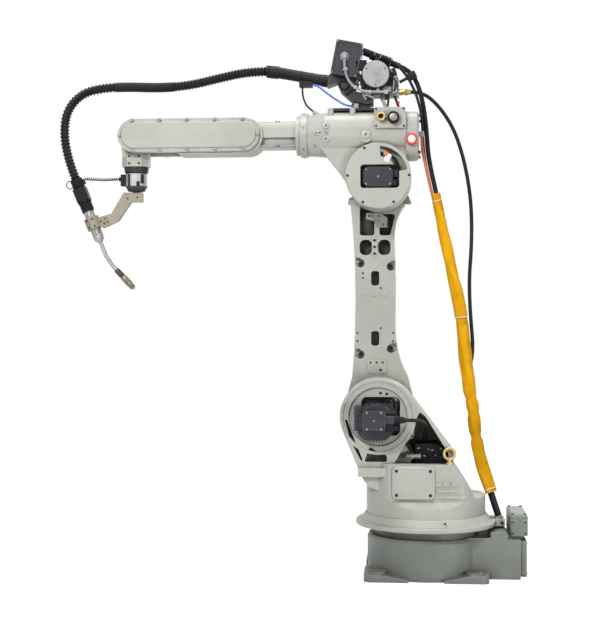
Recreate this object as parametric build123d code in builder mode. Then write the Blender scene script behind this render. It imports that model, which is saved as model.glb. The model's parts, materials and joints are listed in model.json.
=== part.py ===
# Floor-standing six-axis welding robot arm with its wire feeder and torch.
# Millimetres. Origin on the floor at the turning axis, +X forward, +Y to the arm's left, +Z up.
from build123d import *
from math import cos, hypot, radians, sin, tan
import os

# Clearances: seat_gap between faces that run on each other, running_gap between moving castings
seat_gap = 0.3
running_gap = 5.0

# Joint axes
shoulder_x = 150.0
shoulder_z = 505.0
elbow_z = 1265.0
roll_z = 1405.0
bend_x = 945.0

# Base casting
foot_length = 386.0
foot_width = 396.0
foot_reach = 54.0
foot_tip_height = 8.0
foot_height = 24.0
anchor_spacing_x = 300.0
anchor_spacing_y = 318.0
anchor_hole_radius = 9.0
anchor_boss_radius = 27.0
anchor_boss_height = 29.0
base_drum_radius = 187.0
base_drum_height = 126.0
neck_radius = 165.0
turntable_bottom = 155.0
tail_width = 236.0
tail_bottom = 0.0
tail_height = 124.0
tail_hump_height = 147.0
tail_boss_radius = 11.0
panel_thickness = 20.0
panel_margin = 12.0
box_length = 54.0
box_width = 196.0
box_foot_height = 9.0
box_height = 50.0
box_cap_height = 16.0
box_cap_inset = 6.0

# Turntable casting
drum_radius = 190.0
drum_top = 250.0
flange_radius = drum_radius + 34
flange_thickness = 15.0
lip_radius = drum_radius + 18
lip_top = 192.0
lug_reach = drum_radius + 60
lug_width = 84.0
box_front_x = -lug_reach - 13
tail_end_x = box_front_x - 30
tail_hump_front_x = box_front_x + 62
tail_hump_rear_x = box_front_x + 19
lug_height = 21.0
housing_rear_x = -84.0
housing_heel_x = -130.0
housing_heel_z = 287.0
housing_top = 359.0
housing_near_y = 150.0
ledge_outer_z = 222.0
ledge_inner_z = 246.0
cover_thickness = 8.0
cover_front_x = 106.0
cover_rear_x = -27.0
cover_bottom = 250.0
cover_top = 353.0
cover_corner = 15.0
front_lug_x = 213.0
front_lug_bottom = 318.0
front_lug_top = 346.0
front_lug_near_y = 142.0
front_lug_far_y = 10.0
shoulder_near_y = 127.0
casting_far_y = -77.0
shoulder_ring_radius = 120.0
shoulder_recess_radius = 93.0
shoulder_recess_depth = 8.0
motor_window_size = 122.0
motor_window_depth = 45.0
motor_window_x = 142.0
motor_window_z = 506.0
back_wall = 30.0
pocket_near_y = 118.0
pocket_floor = 300.0
rib_radius = 17.0

# Motors
shoulder_motor_flange = 112.0
shoulder_motor_body = 118.0
shoulder_motor_radius = 62.0
shoulder_motor_x = 158.0
shoulder_motor_z = 490.0
shoulder_motor_body_y = 190.0
shoulder_motor_cap_width = 71.0
shoulder_motor_cap_height = 60.0
shoulder_motor_cap_y = 243.0
motor_notch = 9.0
motor_fin_pitch = 9.0
elbow_motor_length = 96.0
elbow_motor_height = 66.0
elbow_motor_setback = 12.0

# Lower arm casting
arm_near_y = casting_far_y - running_gap
arm_thickness = 88.0
arm_hub_radius_low = 118.0
arm_hub_radius_high = 97.0
reducer_radius = 88.0
arm_front_low = (241.0, 620.0)
arm_front_mid = (230.0, 873.0)
arm_front_high = (248.0, 1204.0)
arm_rear_low = (57.0, 620.0)
arm_rear_mid = (98.0, 873.0)
arm_rear_high = (67.0, 1189.0)
arm_pocket_depth = 44.0
arm_bolt_pocket_depth = 26.0
arm_slot_depth = 66.0

# Upper arm casting
disc_radius = 104.0
disc_near_y = 97.0
housing_near_half = 84.0
housing_far_half = 74.0
housing_back_x = 63.0
housing_loft_x = 322.0
ring_back_x = 380.0
ring_front_x = 403.0
ring_radius = 70.5
upper_housing_top = 1474.0
web_near_y = 70.0
channel_inner_radius = 60.0
channel_outer_radius = 93.0
channel_depth_y = 38.0
channel_cord_end = (133.0, 68.0, 1340.0)
channel_cord_way = (18.0, 0.0, 6.0)
thin_hose_end = (360.0, 20.0, 1480.0)
thin_hose_way = (-14.0, 1.0, -11.0)
upper_housing_bottom = 1336.0
housing_corner = 57.0
rear_cover_length = 42.0
rear_cover_bottom = 1323.0
rear_cover_corner = 42.0
window_front_x = 207.0
window_rear_x = 84.0
window_bottom = 1225.0
window_top = 1300.0
window_depth = 62.0

# Forearm casting
forearm_root_radius = 64.0
forearm_half_height = 42.5
forearm_half_width = 52.0
case_rear_x = 531.0
case_front_x = 993.0
case_radius = 54.0
case_half_width = 60.0
case_cover_thickness = 15.0
case_panel_inset = 10.0
case_panel_height = 6.0
case_screw_boss = 6.5
slot_root_x = 797.0
slot_half_width = 44.0
channel_height = 23.0
channel_depth = 12.0

# Wrist and tool mounting
wrist_hub_radius = 47.0
wrist_length = 88.0
wrist_half_width = 38.5
wrist_shoulder_z = 1350.0
wrist_bottom = 1308.0
wrist_chamfer = 20.0
tool_ring_radius = 39.0
tool_ring_bottom = 1291.0
sensor_radius = 34.5
sensor_bottom = 1241.0
sensor_base_height = 12.0
bracket_top = 1225.0
bracket_thickness = 25.0
tool_neck_radius = 13.0

# Torch, by distance along its axis from its top
torch_top = (1148.0, 1271.0)
torch_bend = (1065.0, 1064.0)
cuff_length = 30.0
port_start = 17.0
port_reach = 26.0
box_start = 33.0
box_end = 78.0
grip_end = 115.0
screen_end = 138.0
clamp_end = 176.0
barrel_end = 215.0
torch_radius = 17.0
clamp_radius = 25.0
neck_tube_radius = 7.0
neck_straight = 49.0
neck_end = (1022.0, 983.0)
neck_socket = 14.0
nozzle_tip = (955.0, 913.0)
handle_length = 34.0

# Feeder on the elbow
plate_back_x = 164.0
plate_front_x = 299.0
plate_near_y = 44.0
plate_width = 100.0
plate_boss_height = 5.0
plate_thickness = 8.0
feeder_floor = upper_housing_top + plate_boss_height + plate_thickness
feeder_back_x = 86.0
cradle_half_width = 40.0
cradle_top = feeder_floor + 40
feeder_tilt = 11.0
feeder_box_x = 252.0
feeder_box_z = feeder_floor + 157
feeder_box_length = 86.0
feeder_box_height = 111.0
feeder_box_near_y = 54.0
feeder_box_depth = 96.0
feeder_motor_x = 159.0
feeder_motor_z = feeder_floor + 105
feeder_motor_radius = 43.0
pipe_start = (313.0, feeder_floor + 93.4)
pipe_end = (473.0, feeder_floor + 124)
pipe_radius = 18.0
pipe_collar = 2.0
cuff_end = (515.0, feeder_floor + 129)
cuff_radius = 20.0

# Cord sizes
conduit_radius = 16.0
bundle_radius = 20.5
loop_cable_radius = 6.0
power_cable_radius = 7.5
thin_cable_radius = 4.5


def facing_near(y):
    """Plane of a side profile at width y, drawn as (x, z), with its normal away from +Y."""
    return Plane.XZ.offset(-y)


def facing_front(x):
    """Plane of a cross-section at length x, drawn as (y, z), with its normal along +X."""
    return Plane.YZ.offset(x)


def tilted_plane(start, end):
    """Plane in the middle of the arm at start, with its normal running from start to end."""
    way = Vector(end[0] - start[0], 0, end[1] - start[1])
    return Plane(origin=(start[0], 0, start[1]), x_dir=(0, 1, 0), z_dir=way)


def cord_radii(name, route, diameter):
    """Bend radius of each corner of a cord: 0.45 of its shorter run over the half turn's tangent."""
    points = [Vector(*point) for point in route]
    radii = []
    for before, corner, after in zip(points, points[1:], points[2:]):
        turn = (corner - before).get_angle(after - corner)
        shorter = min((corner - before).length, (after - corner).length)
        radii.append(0.45 * shorter / tan(radians(turn) / 2))
    print(name, "tightest bend", round(min(radii) / diameter, 1), "diameters")
    return radii


def cord(name, route, radius):
    """Round tube along straight runs joined by arcs."""
    with BuildPart() as tube:
        with BuildLine() as path:
            FilletPolyline(*route, radius=cord_radii(name, route, 2 * radius))
        centre = path.line
        with BuildSketch(Plane(origin=centre @ 0, z_dir=centre % 0)):
            Circle(radius)
        sweep()
    tube.part.label = name
    return tube


def part_way(route, index, share=0.5):
    """Point at this share of the run that follows the point with this index."""
    return tuple(a + (b - a) * share for a, b in zip(route[index], route[index + 1]))


def notched_rectangle(width, height, notch):
    """Rectangle with a square bite out of each corner, in the sketch that is open."""
    Rectangle(width, height)
    with GridLocations(width, height, 2, 2):
        Rectangle(2 * notch, 2 * notch, mode=Mode.SUBTRACT)


# Base casting: four wedge-shaped feet, the drum, its neck and the cable tail
with BuildPart() as base_casting:
    with BuildSketch(Plane.XY):
        for side_x in (-1, 1):
            for side_y in (-1, 1):
                with BuildLine():
                    Polyline(
                        (side_x * foot_reach, side_y * foot_width / 2),
                        (side_x * foot_length / 2, side_y * foot_width / 2),
                        (side_x * foot_length / 2, side_y * foot_reach),
                        (side_x * foot_reach, side_y * foot_reach),
                        close=True,
                    )
                make_face()
    extrude(amount=foot_height)
    with BuildSketch(facing_near(foot_width / 2)):
        with BuildLine():
            Polyline(
                (-foot_length / 2, 0),
                (foot_length / 2, 0),
                (foot_length / 2, foot_height),
                (anchor_spacing_x / 2 - 8, foot_height),
                (foot_reach, foot_tip_height),
                (-foot_reach, foot_tip_height),
                (8 - anchor_spacing_x / 2, foot_height),
                (-foot_length / 2, foot_height),
                close=True,
            )
        make_face()
    extrude(amount=foot_width, mode=Mode.INTERSECT)
    upright_corners = base_casting.edges().filter_by(Axis.Z).filter_by_position(
        Axis.X, -foot_length, foot_length
    )
    outer_corners = [
        edge for edge in upright_corners
        if abs(edge.center().X) > foot_length / 2 - 1 and abs(edge.center().Y) > foot_width / 2 - 1
    ]
    fillet(outer_corners, radius=22)
    with BuildSketch(Plane.XY):
        with GridLocations(anchor_spacing_x, anchor_spacing_y, 2, 2):
            Circle(anchor_boss_radius)
    extrude(amount=anchor_boss_height)
    with BuildSketch(Plane.XZ):
        with BuildLine():
            Polyline(
                (0, 0),
                (base_drum_radius, 0),
                (base_drum_radius, base_drum_height - 10),
                (base_drum_radius - 6, base_drum_height),
                (neck_radius, base_drum_height),
                (neck_radius, turntable_bottom - seat_gap),
                (0, turntable_bottom - seat_gap),
                close=True,
            )
        make_face()
    revolve(axis=Axis.Z)
    # Cable tail with its stepped top
    with BuildSketch(facing_near(tail_width / 2)):
        with BuildLine():
            Polyline(
                (60 - base_drum_radius, tail_bottom),
                (tail_end_x, tail_bottom),
                (tail_end_x, tail_height),
                (tail_hump_rear_x - 10, tail_height),
                (tail_hump_rear_x, tail_hump_height),
                (tail_hump_front_x, tail_hump_height - 3),
                (tail_hump_front_x, tail_height + 4),
                (60 - base_drum_radius, tail_height + 4),
                close=True,
            )
        make_face()
    extrude(amount=tail_width)
    # Round boss behind the hump
    with BuildSketch(facing_near(tail_width / 2 - 2)):
        with Locations((tail_hump_rear_x, tail_height + 12)):
            Circle(tail_boss_radius)
    extrude(amount=tail_width - 4)
    with Locations((0, 0, anchor_boss_height)):
        with GridLocations(anchor_spacing_x, anchor_spacing_y, 2, 2):
            CounterBoreHole(anchor_hole_radius, 17, 3)
base_casting.part.label = "base_casting"

# Connector plate on the end of the tail
with BuildPart() as base_rear_panel:
    panel_plane = facing_front(tail_end_x)
    panel_centre_z = (tail_bottom + tail_height) / 2
    panel_width = tail_width - 2 * panel_margin
    panel_height = tail_height - tail_bottom - panel_margin
    with BuildSketch(panel_plane):
        with Locations((0, panel_centre_z)):
            RectangleRounded(panel_width, panel_height, 8)
    extrude(amount=-panel_thickness)
    with BuildSketch(panel_plane.offset(-panel_thickness)):
        with Locations((0, panel_centre_z)):
            RectangleRounded(panel_width - 3 * panel_margin, panel_height - 2 * panel_margin, 6)
    extrude(amount=6, mode=Mode.SUBTRACT)
base_rear_panel.part.label = "base_rear_panel"

# Junction box on top of the tail, and its cap
box_middle_x = box_front_x - box_length / 2
box_bottom = tail_height + box_foot_height
with BuildPart() as junction_box:
    with BuildSketch(Plane.XY.offset(tail_height)):
        with Locations((box_middle_x + 6, 0)):
            Rectangle(box_length - 16, box_width - 30)
    extrude(amount=box_foot_height)
    with BuildSketch(Plane.XY.offset(box_bottom)):
        with Locations((box_middle_x, 0)):
            RectangleRounded(box_length, box_width, 7)
    extrude(amount=box_height)
junction_box.part.label = "junction_box"

with BuildPart() as junction_box_cap:
    with BuildSketch(Plane.XY.offset(box_bottom + box_height)):
        with Locations((box_middle_x, 0)):
            RectangleRounded(box_length, box_width, 7)
    extrude(amount=box_cap_height)
    chamfer(junction_box_cap.faces().sort_by(Axis.Z)[-1].edges(), length=box_cap_inset)
junction_box_cap.part.label = "junction_box_cap"

# Turntable casting: the drum is cut to the side outline first, then the flat walls, then the rest
with BuildPart() as turntable_casting:
    with BuildSketch(Plane.XY.offset(turntable_bottom)):
        Circle(drum_radius)
    extrude(amount=housing_top - turntable_bottom)
    with BuildSketch(facing_near(drum_radius)):
        with BuildLine():
            Polyline(
                (-drum_radius, turntable_bottom),
                (drum_radius, turntable_bottom),
                (drum_radius, front_lug_top),
                (146, front_lug_top),
                (138, housing_top),
                (housing_rear_x, housing_top),
                (housing_heel_x, housing_heel_z),
                (housing_heel_x - 22, drum_top),
                (-drum_radius, drum_top),
                close=True,
            )
        make_face()
    extrude(amount=2 * drum_radius, mode=Mode.INTERSECT)
    # Flat near wall above a sloping ledge, and the far wall beside the lower arm
    with BuildSketch(facing_front(-drum_radius)):
        with BuildLine():
            Polyline(
                (housing_near_y, housing_top),
                (housing_near_y, ledge_inner_z),
                (drum_radius, ledge_outer_z),
                (drum_radius, housing_top),
                close=True,
            )
        make_face()
        with BuildLine():
            Polyline(
                (casting_far_y, housing_top),
                (casting_far_y, drum_top + 4),
                (-drum_radius, drum_top - 20),
                (-drum_radius, housing_top),
                close=True,
            )
        make_face()
    extrude(amount=2 * drum_radius, mode=Mode.SUBTRACT)
    # Flange and lip
    with BuildSketch(Plane.XZ):
        with BuildLine():
            Polyline(
                (0, turntable_bottom),
                (flange_radius - 3, turntable_bottom),
                (flange_radius, turntable_bottom + 3),
                (flange_radius, turntable_bottom + flange_thickness - 3),
                (flange_radius - 3, turntable_bottom + flange_thickness),
                (lip_radius, turntable_bottom + flange_thickness + 3),
                (drum_radius + 4, lip_top),
                (0, lip_top),
                close=True,
            )
        make_face()
    revolve(axis=Axis.Z)
    # Rear lug and the mark pocket in the lip
    with BuildSketch(Plane.XY.offset(turntable_bottom)):
        with Locations((-(lug_reach + drum_radius) / 2, 0)):
            Rectangle(lug_reach - drum_radius, lug_width)
    extrude(amount=lug_height)
    # Front lug and the gusset under it
    with BuildSketch(facing_near(front_lug_near_y)):
        with BuildLine():
            Polyline(
                (110, front_lug_bottom),
                (front_lug_x, front_lug_bottom),
                (front_lug_x, front_lug_top),
                (110, front_lug_top),
                close=True,
            )
        make_face()
    extrude(amount=front_lug_near_y - front_lug_far_y)
    with BuildSketch(facing_near(front_lug_near_y - 22)):
        with BuildLine():
            Polyline(
                (100, front_lug_bottom),
                (front_lug_x - 10, front_lug_bottom),
                (183, 286),
                (120, 262),
                close=True,
            )
        make_face()
    extrude(amount=front_lug_near_y - front_lug_far_y - 40)
    # Shoulder: one near face with the ring, a straight front edge and a sloping rear edge
    rear_edge_low = (housing_rear_x, 395)
    rear_edge_high = (shoulder_x - 80, shoulder_z + shoulder_ring_radius - 28)
    with BuildSketch(facing_near(shoulder_near_y)):
        with Locations((shoulder_x, shoulder_z)):
            Circle(shoulder_ring_radius)
        with BuildLine():
            Polyline(
                (shoulder_x + 0.9 * shoulder_ring_radius, shoulder_z - 0.45 * shoulder_ring_radius),
                (207, housing_top - 30),
                (housing_rear_x, housing_top - 30),
                rear_edge_low,
                rear_edge_high,
                (shoulder_x, shoulder_z),
                close=True,
            )
        make_face()
    extrude(amount=shoulder_near_y - casting_far_y)
    # Round recess, and the square window that the motor stands in
    with BuildSketch(facing_near(shoulder_near_y)):
        with Locations((shoulder_x, shoulder_z)):
            Circle(shoulder_recess_radius)
    extrude(amount=shoulder_recess_depth, taper=20, mode=Mode.SUBTRACT)
    with BuildSketch(facing_near(shoulder_near_y)):
        with Locations((motor_window_x, motor_window_z)):
            RectangleRounded(motor_window_size, motor_window_size, 18)
    extrude(amount=motor_window_depth, mode=Mode.SUBTRACT)
    # Open pocket for the cables behind the shoulder, down into the housing
    pocket_rear_x = housing_rear_x + 14
    pocket_front_x = shoulder_x - 50
    with BuildSketch(facing_near(shoulder_near_y)):
        with BuildLine():
            Polyline(
                (pocket_rear_x, housing_top),
                (pocket_front_x, housing_top),
                (shoulder_x - 88, shoulder_z - 80),
                (shoulder_x - 104, shoulder_z - 35),
                (shoulder_x - 130, shoulder_z + 15),
                (shoulder_x - 148, shoulder_z + 2),
                (pocket_rear_x, rear_edge_low[1] - 3),
                close=True,
            )
        make_face()
    extrude(amount=shoulder_near_y - casting_far_y - back_wall, mode=Mode.SUBTRACT)
    with BuildSketch(facing_near(pocket_near_y)):
        with Locations(((pocket_rear_x + pocket_front_x) / 2, (pocket_floor + housing_top) / 2)):
            Rectangle(pocket_front_x - pocket_rear_x, housing_top - pocket_floor + 1)
    extrude(amount=pocket_near_y - casting_far_y - back_wall, mode=Mode.SUBTRACT)
    # Cast web and its two round bosses at the front of the pocket
    with BuildSketch(facing_near(58)):
        with BuildLine():
            Polyline(
                (pocket_front_x + 8, pocket_floor - 8),
                (52, pocket_floor - 8),
                (46, housing_top + 34),
                (66, shoulder_z - 74),
                (pocket_front_x + 8, housing_top + 60),
                close=True,
            )
        make_face()
    extrude(amount=58 - casting_far_y - back_wall / 2)
    with BuildSketch(facing_near(88)):
        with Locations((54, shoulder_z - 56), (74, shoulder_z - 98)):
            Circle(rib_radius)
    extrude(amount=88 - casting_far_y - back_wall / 2)
    # Long slot beside the front edge, and the three-cornered pocket
    with BuildSketch(facing_near(shoulder_near_y)):
        with BuildLine():
            Polyline((254, 494), (238, 432), (203, 366), (198, 370), (225, 436), (247, 496), close=True)
        make_face()
    extrude(amount=60, mode=Mode.SUBTRACT)
    with BuildSketch(facing_near(shoulder_near_y)) as three_corners:
        with BuildLine():
            Polyline((194, 363), (122, 363), (122, 384), (150, 394), (176, 412), close=True)
        make_face()
        fillet(three_corners.vertices(), radius=6)
    extrude(amount=70, mode=Mode.SUBTRACT)
turntable_casting.part.label = "turntable_casting"

# Round-cornered cover on the near wall
with BuildPart() as access_cover:
    with BuildSketch(facing_near(housing_near_y + cover_thickness)):
        with Locations(((cover_front_x + cover_rear_x) / 2, (cover_bottom + cover_top) / 2)):
            RectangleRounded(cover_front_x - cover_rear_x, cover_top - cover_bottom, cover_corner)
    extrude(amount=cover_thickness)
    chamfer(access_cover.faces().sort_by(Axis.Y)[-1].edges(), length=2.5)
access_cover.part.label = "access_cover"

# Shoulder motor: flange in the window, finned round body, end bell, notched cap and its plug
window_floor = shoulder_near_y - motor_window_depth
motor_body_start = shoulder_near_y - shoulder_recess_depth + running_gap
motor_bell_depth = 30.0
motor_cap_depth = 32.0
plug_end_x = 98.0
plug_y = 226.0
plug_z = 503.0
with BuildPart() as shoulder_motor:
    with BuildSketch(facing_near(window_floor)):
        with Locations((motor_window_x, motor_window_z)):
            RectangleRounded(shoulder_motor_flange, shoulder_motor_flange, 16)
    extrude(amount=-12)
    with BuildSketch(facing_near(window_floor + 12)):
        with Locations((shoulder_x, shoulder_z - 4)):
            RectangleRounded(92, 92, 10)
    extrude(amount=window_floor + 12 - motor_body_start)
    with BuildSketch(facing_near(shoulder_motor_body_y)):
        with Locations((shoulder_motor_x, shoulder_motor_z)):
            Circle(shoulder_motor_radius)
            Rectangle(shoulder_motor_body, shoulder_motor_body, mode=Mode.INTERSECT)
            with GridLocations(shoulder_motor_body, motor_fin_pitch, 2, 9):
                Rectangle(14, motor_fin_pitch / 2, mode=Mode.SUBTRACT)
            with GridLocations(motor_fin_pitch, shoulder_motor_body, 9, 2):
                Rectangle(motor_fin_pitch / 2, 14, mode=Mode.SUBTRACT)
    extrude(amount=shoulder_motor_body_y - motor_body_start)
    with BuildSketch(facing_near(shoulder_motor_cap_y - motor_cap_depth)):
        with Locations((shoulder_motor_x - 4, shoulder_motor_z + 8)):
            Circle(shoulder_motor_radius - 11)
    extrude(amount=motor_bell_depth)
    with BuildSketch(facing_near(shoulder_motor_cap_y)):
        with Locations((shoulder_motor_x + 1, plug_z - 2)):
            notched_rectangle(shoulder_motor_cap_width, shoulder_motor_cap_height, motor_notch)
    extrude(amount=motor_cap_depth)
    with BuildSketch(facing_front(plug_end_x)):
        with Locations((plug_y, plug_z)):
            RectangleRounded(24, 26, 4)
    extrude(amount=shoulder_motor_x - plug_end_x)
shoulder_motor.part.label = "shoulder_motor"

# Terminal block in the cable pocket
terminal_top = 416.0
harness_end = (2.0, 66.0, 440.0)
harness_way = (0.5, -26.0, -22.0)
with BuildPart() as terminal_block:
    with BuildSketch(facing_near(70)):
        with BuildLine():
            Polyline(
                (33, pocket_floor), (-60, pocket_floor), (-60, 396), (-36, terminal_top), (33, terminal_top),
                close=True,
            )
        make_face()
    extrude(amount=70 - casting_far_y - back_wall)
    with BuildSketch(facing_near(70)):
        with Locations((-15, 350)):
            with GridLocations(22, 0, 4, 1):
                Rectangle(9, 70)
    extrude(amount=8, mode=Mode.SUBTRACT)
    # Plug that the motor's harness ends on
    with BuildSketch(Plane(origin=harness_end, z_dir=harness_way)):
        Circle(9)
    extrude(amount=36)
terminal_block.part.label = "terminal_block"

# Lifting eye screwed into the rear of the housing
eye_x = -72.0
eye_z = 392.0
eye_y = housing_near_y - 11.5
with BuildPart() as lifting_eye:
    with BuildSketch(Plane.XY.offset(housing_top)):
        with Locations((eye_x, eye_y)):
            Circle(11)
    extrude(amount=7)
    with BuildSketch(Plane.XY.offset(housing_top + 7)):
        with Locations((eye_x, eye_y)):
            Circle(6)
    extrude(amount=eye_z - housing_top - 7 - 14)
    with BuildSketch(Plane(origin=(eye_x, eye_y, eye_z), x_dir=(0, 0, 1), z_dir=(1, 0, 0))):
        with Locations((16.5, 0)):
            Circle(4.8)
    revolve(axis=Axis((eye_x, eye_y, eye_z), (0, 1, 0)))
lifting_eye.part.label = "lifting_eye"

# Lower arm casting: waisted plate with a hub at each end, pockets and through slots
with BuildPart() as lower_arm_casting:
    with BuildSketch(facing_near(arm_near_y)):
        with BuildLine():
            front_edge = ThreePointArc(arm_front_low, arm_front_mid, arm_front_high)
            rear_edge = Spline(arm_rear_high, (97, 1125), (100, 1020), arm_rear_mid, (93, 720), arm_rear_low)
            Line(front_edge @ 1, rear_edge @ 0)
            Line(rear_edge @ 1, front_edge @ 0)
        make_face()
        with BuildLine():
            Polyline(
                arm_front_low,
                (shoulder_x + arm_hub_radius_low - 2, shoulder_z + 20),
                (shoulder_x - arm_hub_radius_low + 2, shoulder_z + 20),
                arm_rear_low,
                close=True,
            )
        make_face()
        with Locations((shoulder_x, shoulder_z)):
            Circle(arm_hub_radius_low)
        with Locations((shoulder_x, elbow_z)):
            Circle(arm_hub_radius_high)
    extrude(amount=arm_thickness)
    arm_plate_edges = lower_arm_casting.faces().sort_by(Axis.Y)[0].edges()
    chamfer(arm_plate_edges, length=5)
    # Pockets in the near face: two windows, two ovals, four bolt pockets
    with BuildSketch(facing_near(arm_near_y)) as arm_windows:
        with BuildLine():
            Polyline((216, 1180), (167, 1180), (167, 1086), (216, 1086), close=True)
        make_face()
        with BuildLine():
            Polyline((151, 1157), (97, 1157), (116, 1086), (151, 1086), close=True)
        make_face()
        fillet(arm_windows.vertices(), radius=9)
        with Locations((196, 1047), (135, 1047)):
            RectangleRounded(41, 51, 18)
    extrude(amount=arm_pocket_depth, mode=Mode.SUBTRACT)
    with BuildSketch(facing_near(arm_near_y)):
        with Locations((214, 995), (113, 984), (113, 713), (214, 694)):
            Circle(14)
        with Locations((228, 1001), (99, 990), (99, 719), (228, 700)):
            Rectangle(28, 26)
    extrude(amount=arm_bolt_pocket_depth, mode=Mode.SUBTRACT)
    # Two deep slots
    with BuildSketch(facing_near(arm_near_y)):
        with Locations((165, 945), (165, 747)):
            RectangleRounded(27, 48, 9)
    extrude(amount=arm_slot_depth, mode=Mode.SUBTRACT)
    # Reducer discs that the shoulder and the elbow run on
    with BuildSketch(facing_near(casting_far_y - seat_gap)):
        with Locations((shoulder_x, shoulder_z), (shoulder_x, elbow_z)):
            Circle(reducer_radius)
    extrude(amount=casting_far_y - seat_gap - arm_near_y)
    # Side lugs beside the elbow
    with BuildSketch(facing_near(arm_near_y - 20)):
        with BuildLine():
            Polyline((72, 1216), (56, 1218), (46, 1194), (54, 1190), (84, 1196), close=True)
        make_face()
        with BuildLine():
            Polyline((236, 1216), (252, 1212), (256, 1192), (236, 1186), close=True)
        make_face()
    extrude(amount=30)
lower_arm_casting.part.label = "lower_arm_casting"

# Bracket of the travel stop, lying on the near face of the lower arm
with BuildPart() as stop_bracket:
    with BuildSketch(facing_near(arm_near_y + 4)):
        with BuildLine():
            Polyline(
                (125, 1112), (158, 1112), (162, 1128), (178, 1136), (194, 1140), (194, 1160),
                (150, 1160), (125, 1144), close=True,
            )
        make_face()
        with Locations((184, 1150)):
            Circle(4, mode=Mode.SUBTRACT)
    extrude(amount=4)
stop_bracket.part.label = "stop_bracket"

# Elbow casting: disc, rounded housing along the roll axis and the front ring
housing_middle_y = (housing_near_half - housing_far_half) / 2
housing_width = housing_near_half + housing_far_half
housing_height = upper_housing_top - upper_housing_bottom
housing_middle_z = (upper_housing_top + upper_housing_bottom) / 2
with BuildPart() as elbow_casting:
    with BuildSketch(facing_front(housing_back_x)):
        with Locations((housing_middle_y, housing_middle_z)):
            RectangleRounded(housing_width, housing_height, housing_corner)
    extrude(amount=housing_loft_x - housing_back_x)
    with BuildSketch(facing_front(housing_loft_x)):
        with Locations((housing_middle_y, housing_middle_z)):
            RectangleRounded(housing_width, housing_height, housing_corner)
    with BuildSketch(facing_front(ring_back_x)):
        with Locations((0, roll_z)):
            Circle(ring_radius - 4)
    loft()
    with BuildSketch(facing_front(ring_back_x)):
        with Locations((0, roll_z)):
            Circle(ring_radius)
    extrude(amount=ring_front_x - ring_back_x)
    chamfer(elbow_casting.faces().sort_by(Axis.X)[-1].edges(), length=3)
    # Web between the housing and the elbow disc, with its slanting front edge
    with BuildSketch(facing_near(web_near_y)):
        with BuildLine():
            web_front = Spline(
                (housing_loft_x + 20, roll_z - 34),
                (housing_loft_x - 9, upper_housing_bottom - 6),
                (272, 1276),
                (246, 1222),
            )
            Polyline(
                web_front @ 1,
                (shoulder_x, elbow_z),
                (shoulder_x - disc_radius + 8, elbow_z + 20),
                (housing_back_x, rear_cover_bottom),
                (housing_back_x, roll_z),
                (housing_loft_x, roll_z),
                web_front @ 0,
            )
        make_face()
    extrude(amount=web_near_y - casting_far_y)
    # Disc with the motor window and the curved cable channel
    with BuildSketch(facing_near(disc_near_y)):
        with Locations((shoulder_x, elbow_z)):
            Circle(disc_radius)
    extrude(amount=disc_near_y - casting_far_y)
    chamfer(elbow_casting.faces().sort_by(Axis.Y)[-1].edges(), length=2)
    with BuildSketch(facing_near(disc_near_y)):
        with Locations(((window_front_x + window_rear_x) / 2, (window_bottom + window_top) / 2)):
            RectangleRounded(window_front_x - window_rear_x, window_top - window_bottom, 10)
    extrude(amount=window_depth, mode=Mode.SUBTRACT)
    with BuildSketch(facing_near(disc_near_y)):
        with BuildLine():
            outer_side = CenterArc((shoulder_x, elbow_z), channel_outer_radius, 93, 76)
            inner_side = CenterArc((shoulder_x, elbow_z), channel_inner_radius, 97, 72)
            Line(outer_side @ 0, inner_side @ 0)
            Line(outer_side @ 1, inner_side @ 1)
        make_face()
    extrude(amount=channel_depth_y, mode=Mode.SUBTRACT)
    # Gland that the motor's cord ends on, at the far end of the channel
    with BuildSketch(Plane(origin=channel_cord_end, z_dir=channel_cord_way)):
        Circle(6.5)
    extrude(amount=24)
    # Boss that the thin hose ends on, slanting into the housing
    with BuildSketch(Plane(origin=thin_hose_end, z_dir=thin_hose_way)):
        Circle(7)
    extrude(amount=40)
    # Two screw bosses that rise above the near edge of the housing
    with BuildSketch(Plane.XY.offset(roll_z)):
        with Locations((plate_front_x + 4, plate_near_y + 14), (plate_back_x + 69, plate_near_y + 14)):
            Circle(9.5)
    extrude(amount=upper_housing_top + 9 - roll_z)
    # Screw pad with eight corners on the near side of the housing
    with BuildSketch(facing_near(housing_near_half + 4)):
        with Locations((shoulder_x + 40, roll_z - 19)):
            RegularPolygon(17, 8, rotation=22.5)
    extrude(amount=20)
elbow_casting.part.label = "elbow_casting"

# Elbow motor behind the window
window_floor_y = disc_near_y - window_depth
elbow_motor_x = window_front_x - 8 - elbow_motor_length / 2
elbow_motor_z = (window_bottom + window_top) / 2
elbow_plug_x = elbow_motor_x - elbow_motor_length / 2 - 10
elbow_plug_top = 1284.0
with BuildPart() as elbow_motor:
    with BuildSketch(facing_near(window_floor_y)):
        with Locations((elbow_motor_x, elbow_motor_z)):
            notched_rectangle(elbow_motor_length, elbow_motor_height, motor_notch)
    extrude(amount=elbow_motor_setback - window_depth)
    chamfer(elbow_motor.faces().sort_by(Axis.Y)[-1].edges(), length=2)
    # Plug that its cord leaves from, beside the motor
    with BuildSketch(Plane.XY.offset(elbow_plug_top)):
        with Locations((elbow_plug_x, channel_cord_end[1])):
            RectangleRounded(14, 18, 2)
        with Locations((elbow_plug_x + 8, channel_cord_end[1])):
            Rectangle(12, 14)
    extrude(amount=-22)
elbow_motor.part.label = "elbow_motor"

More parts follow.
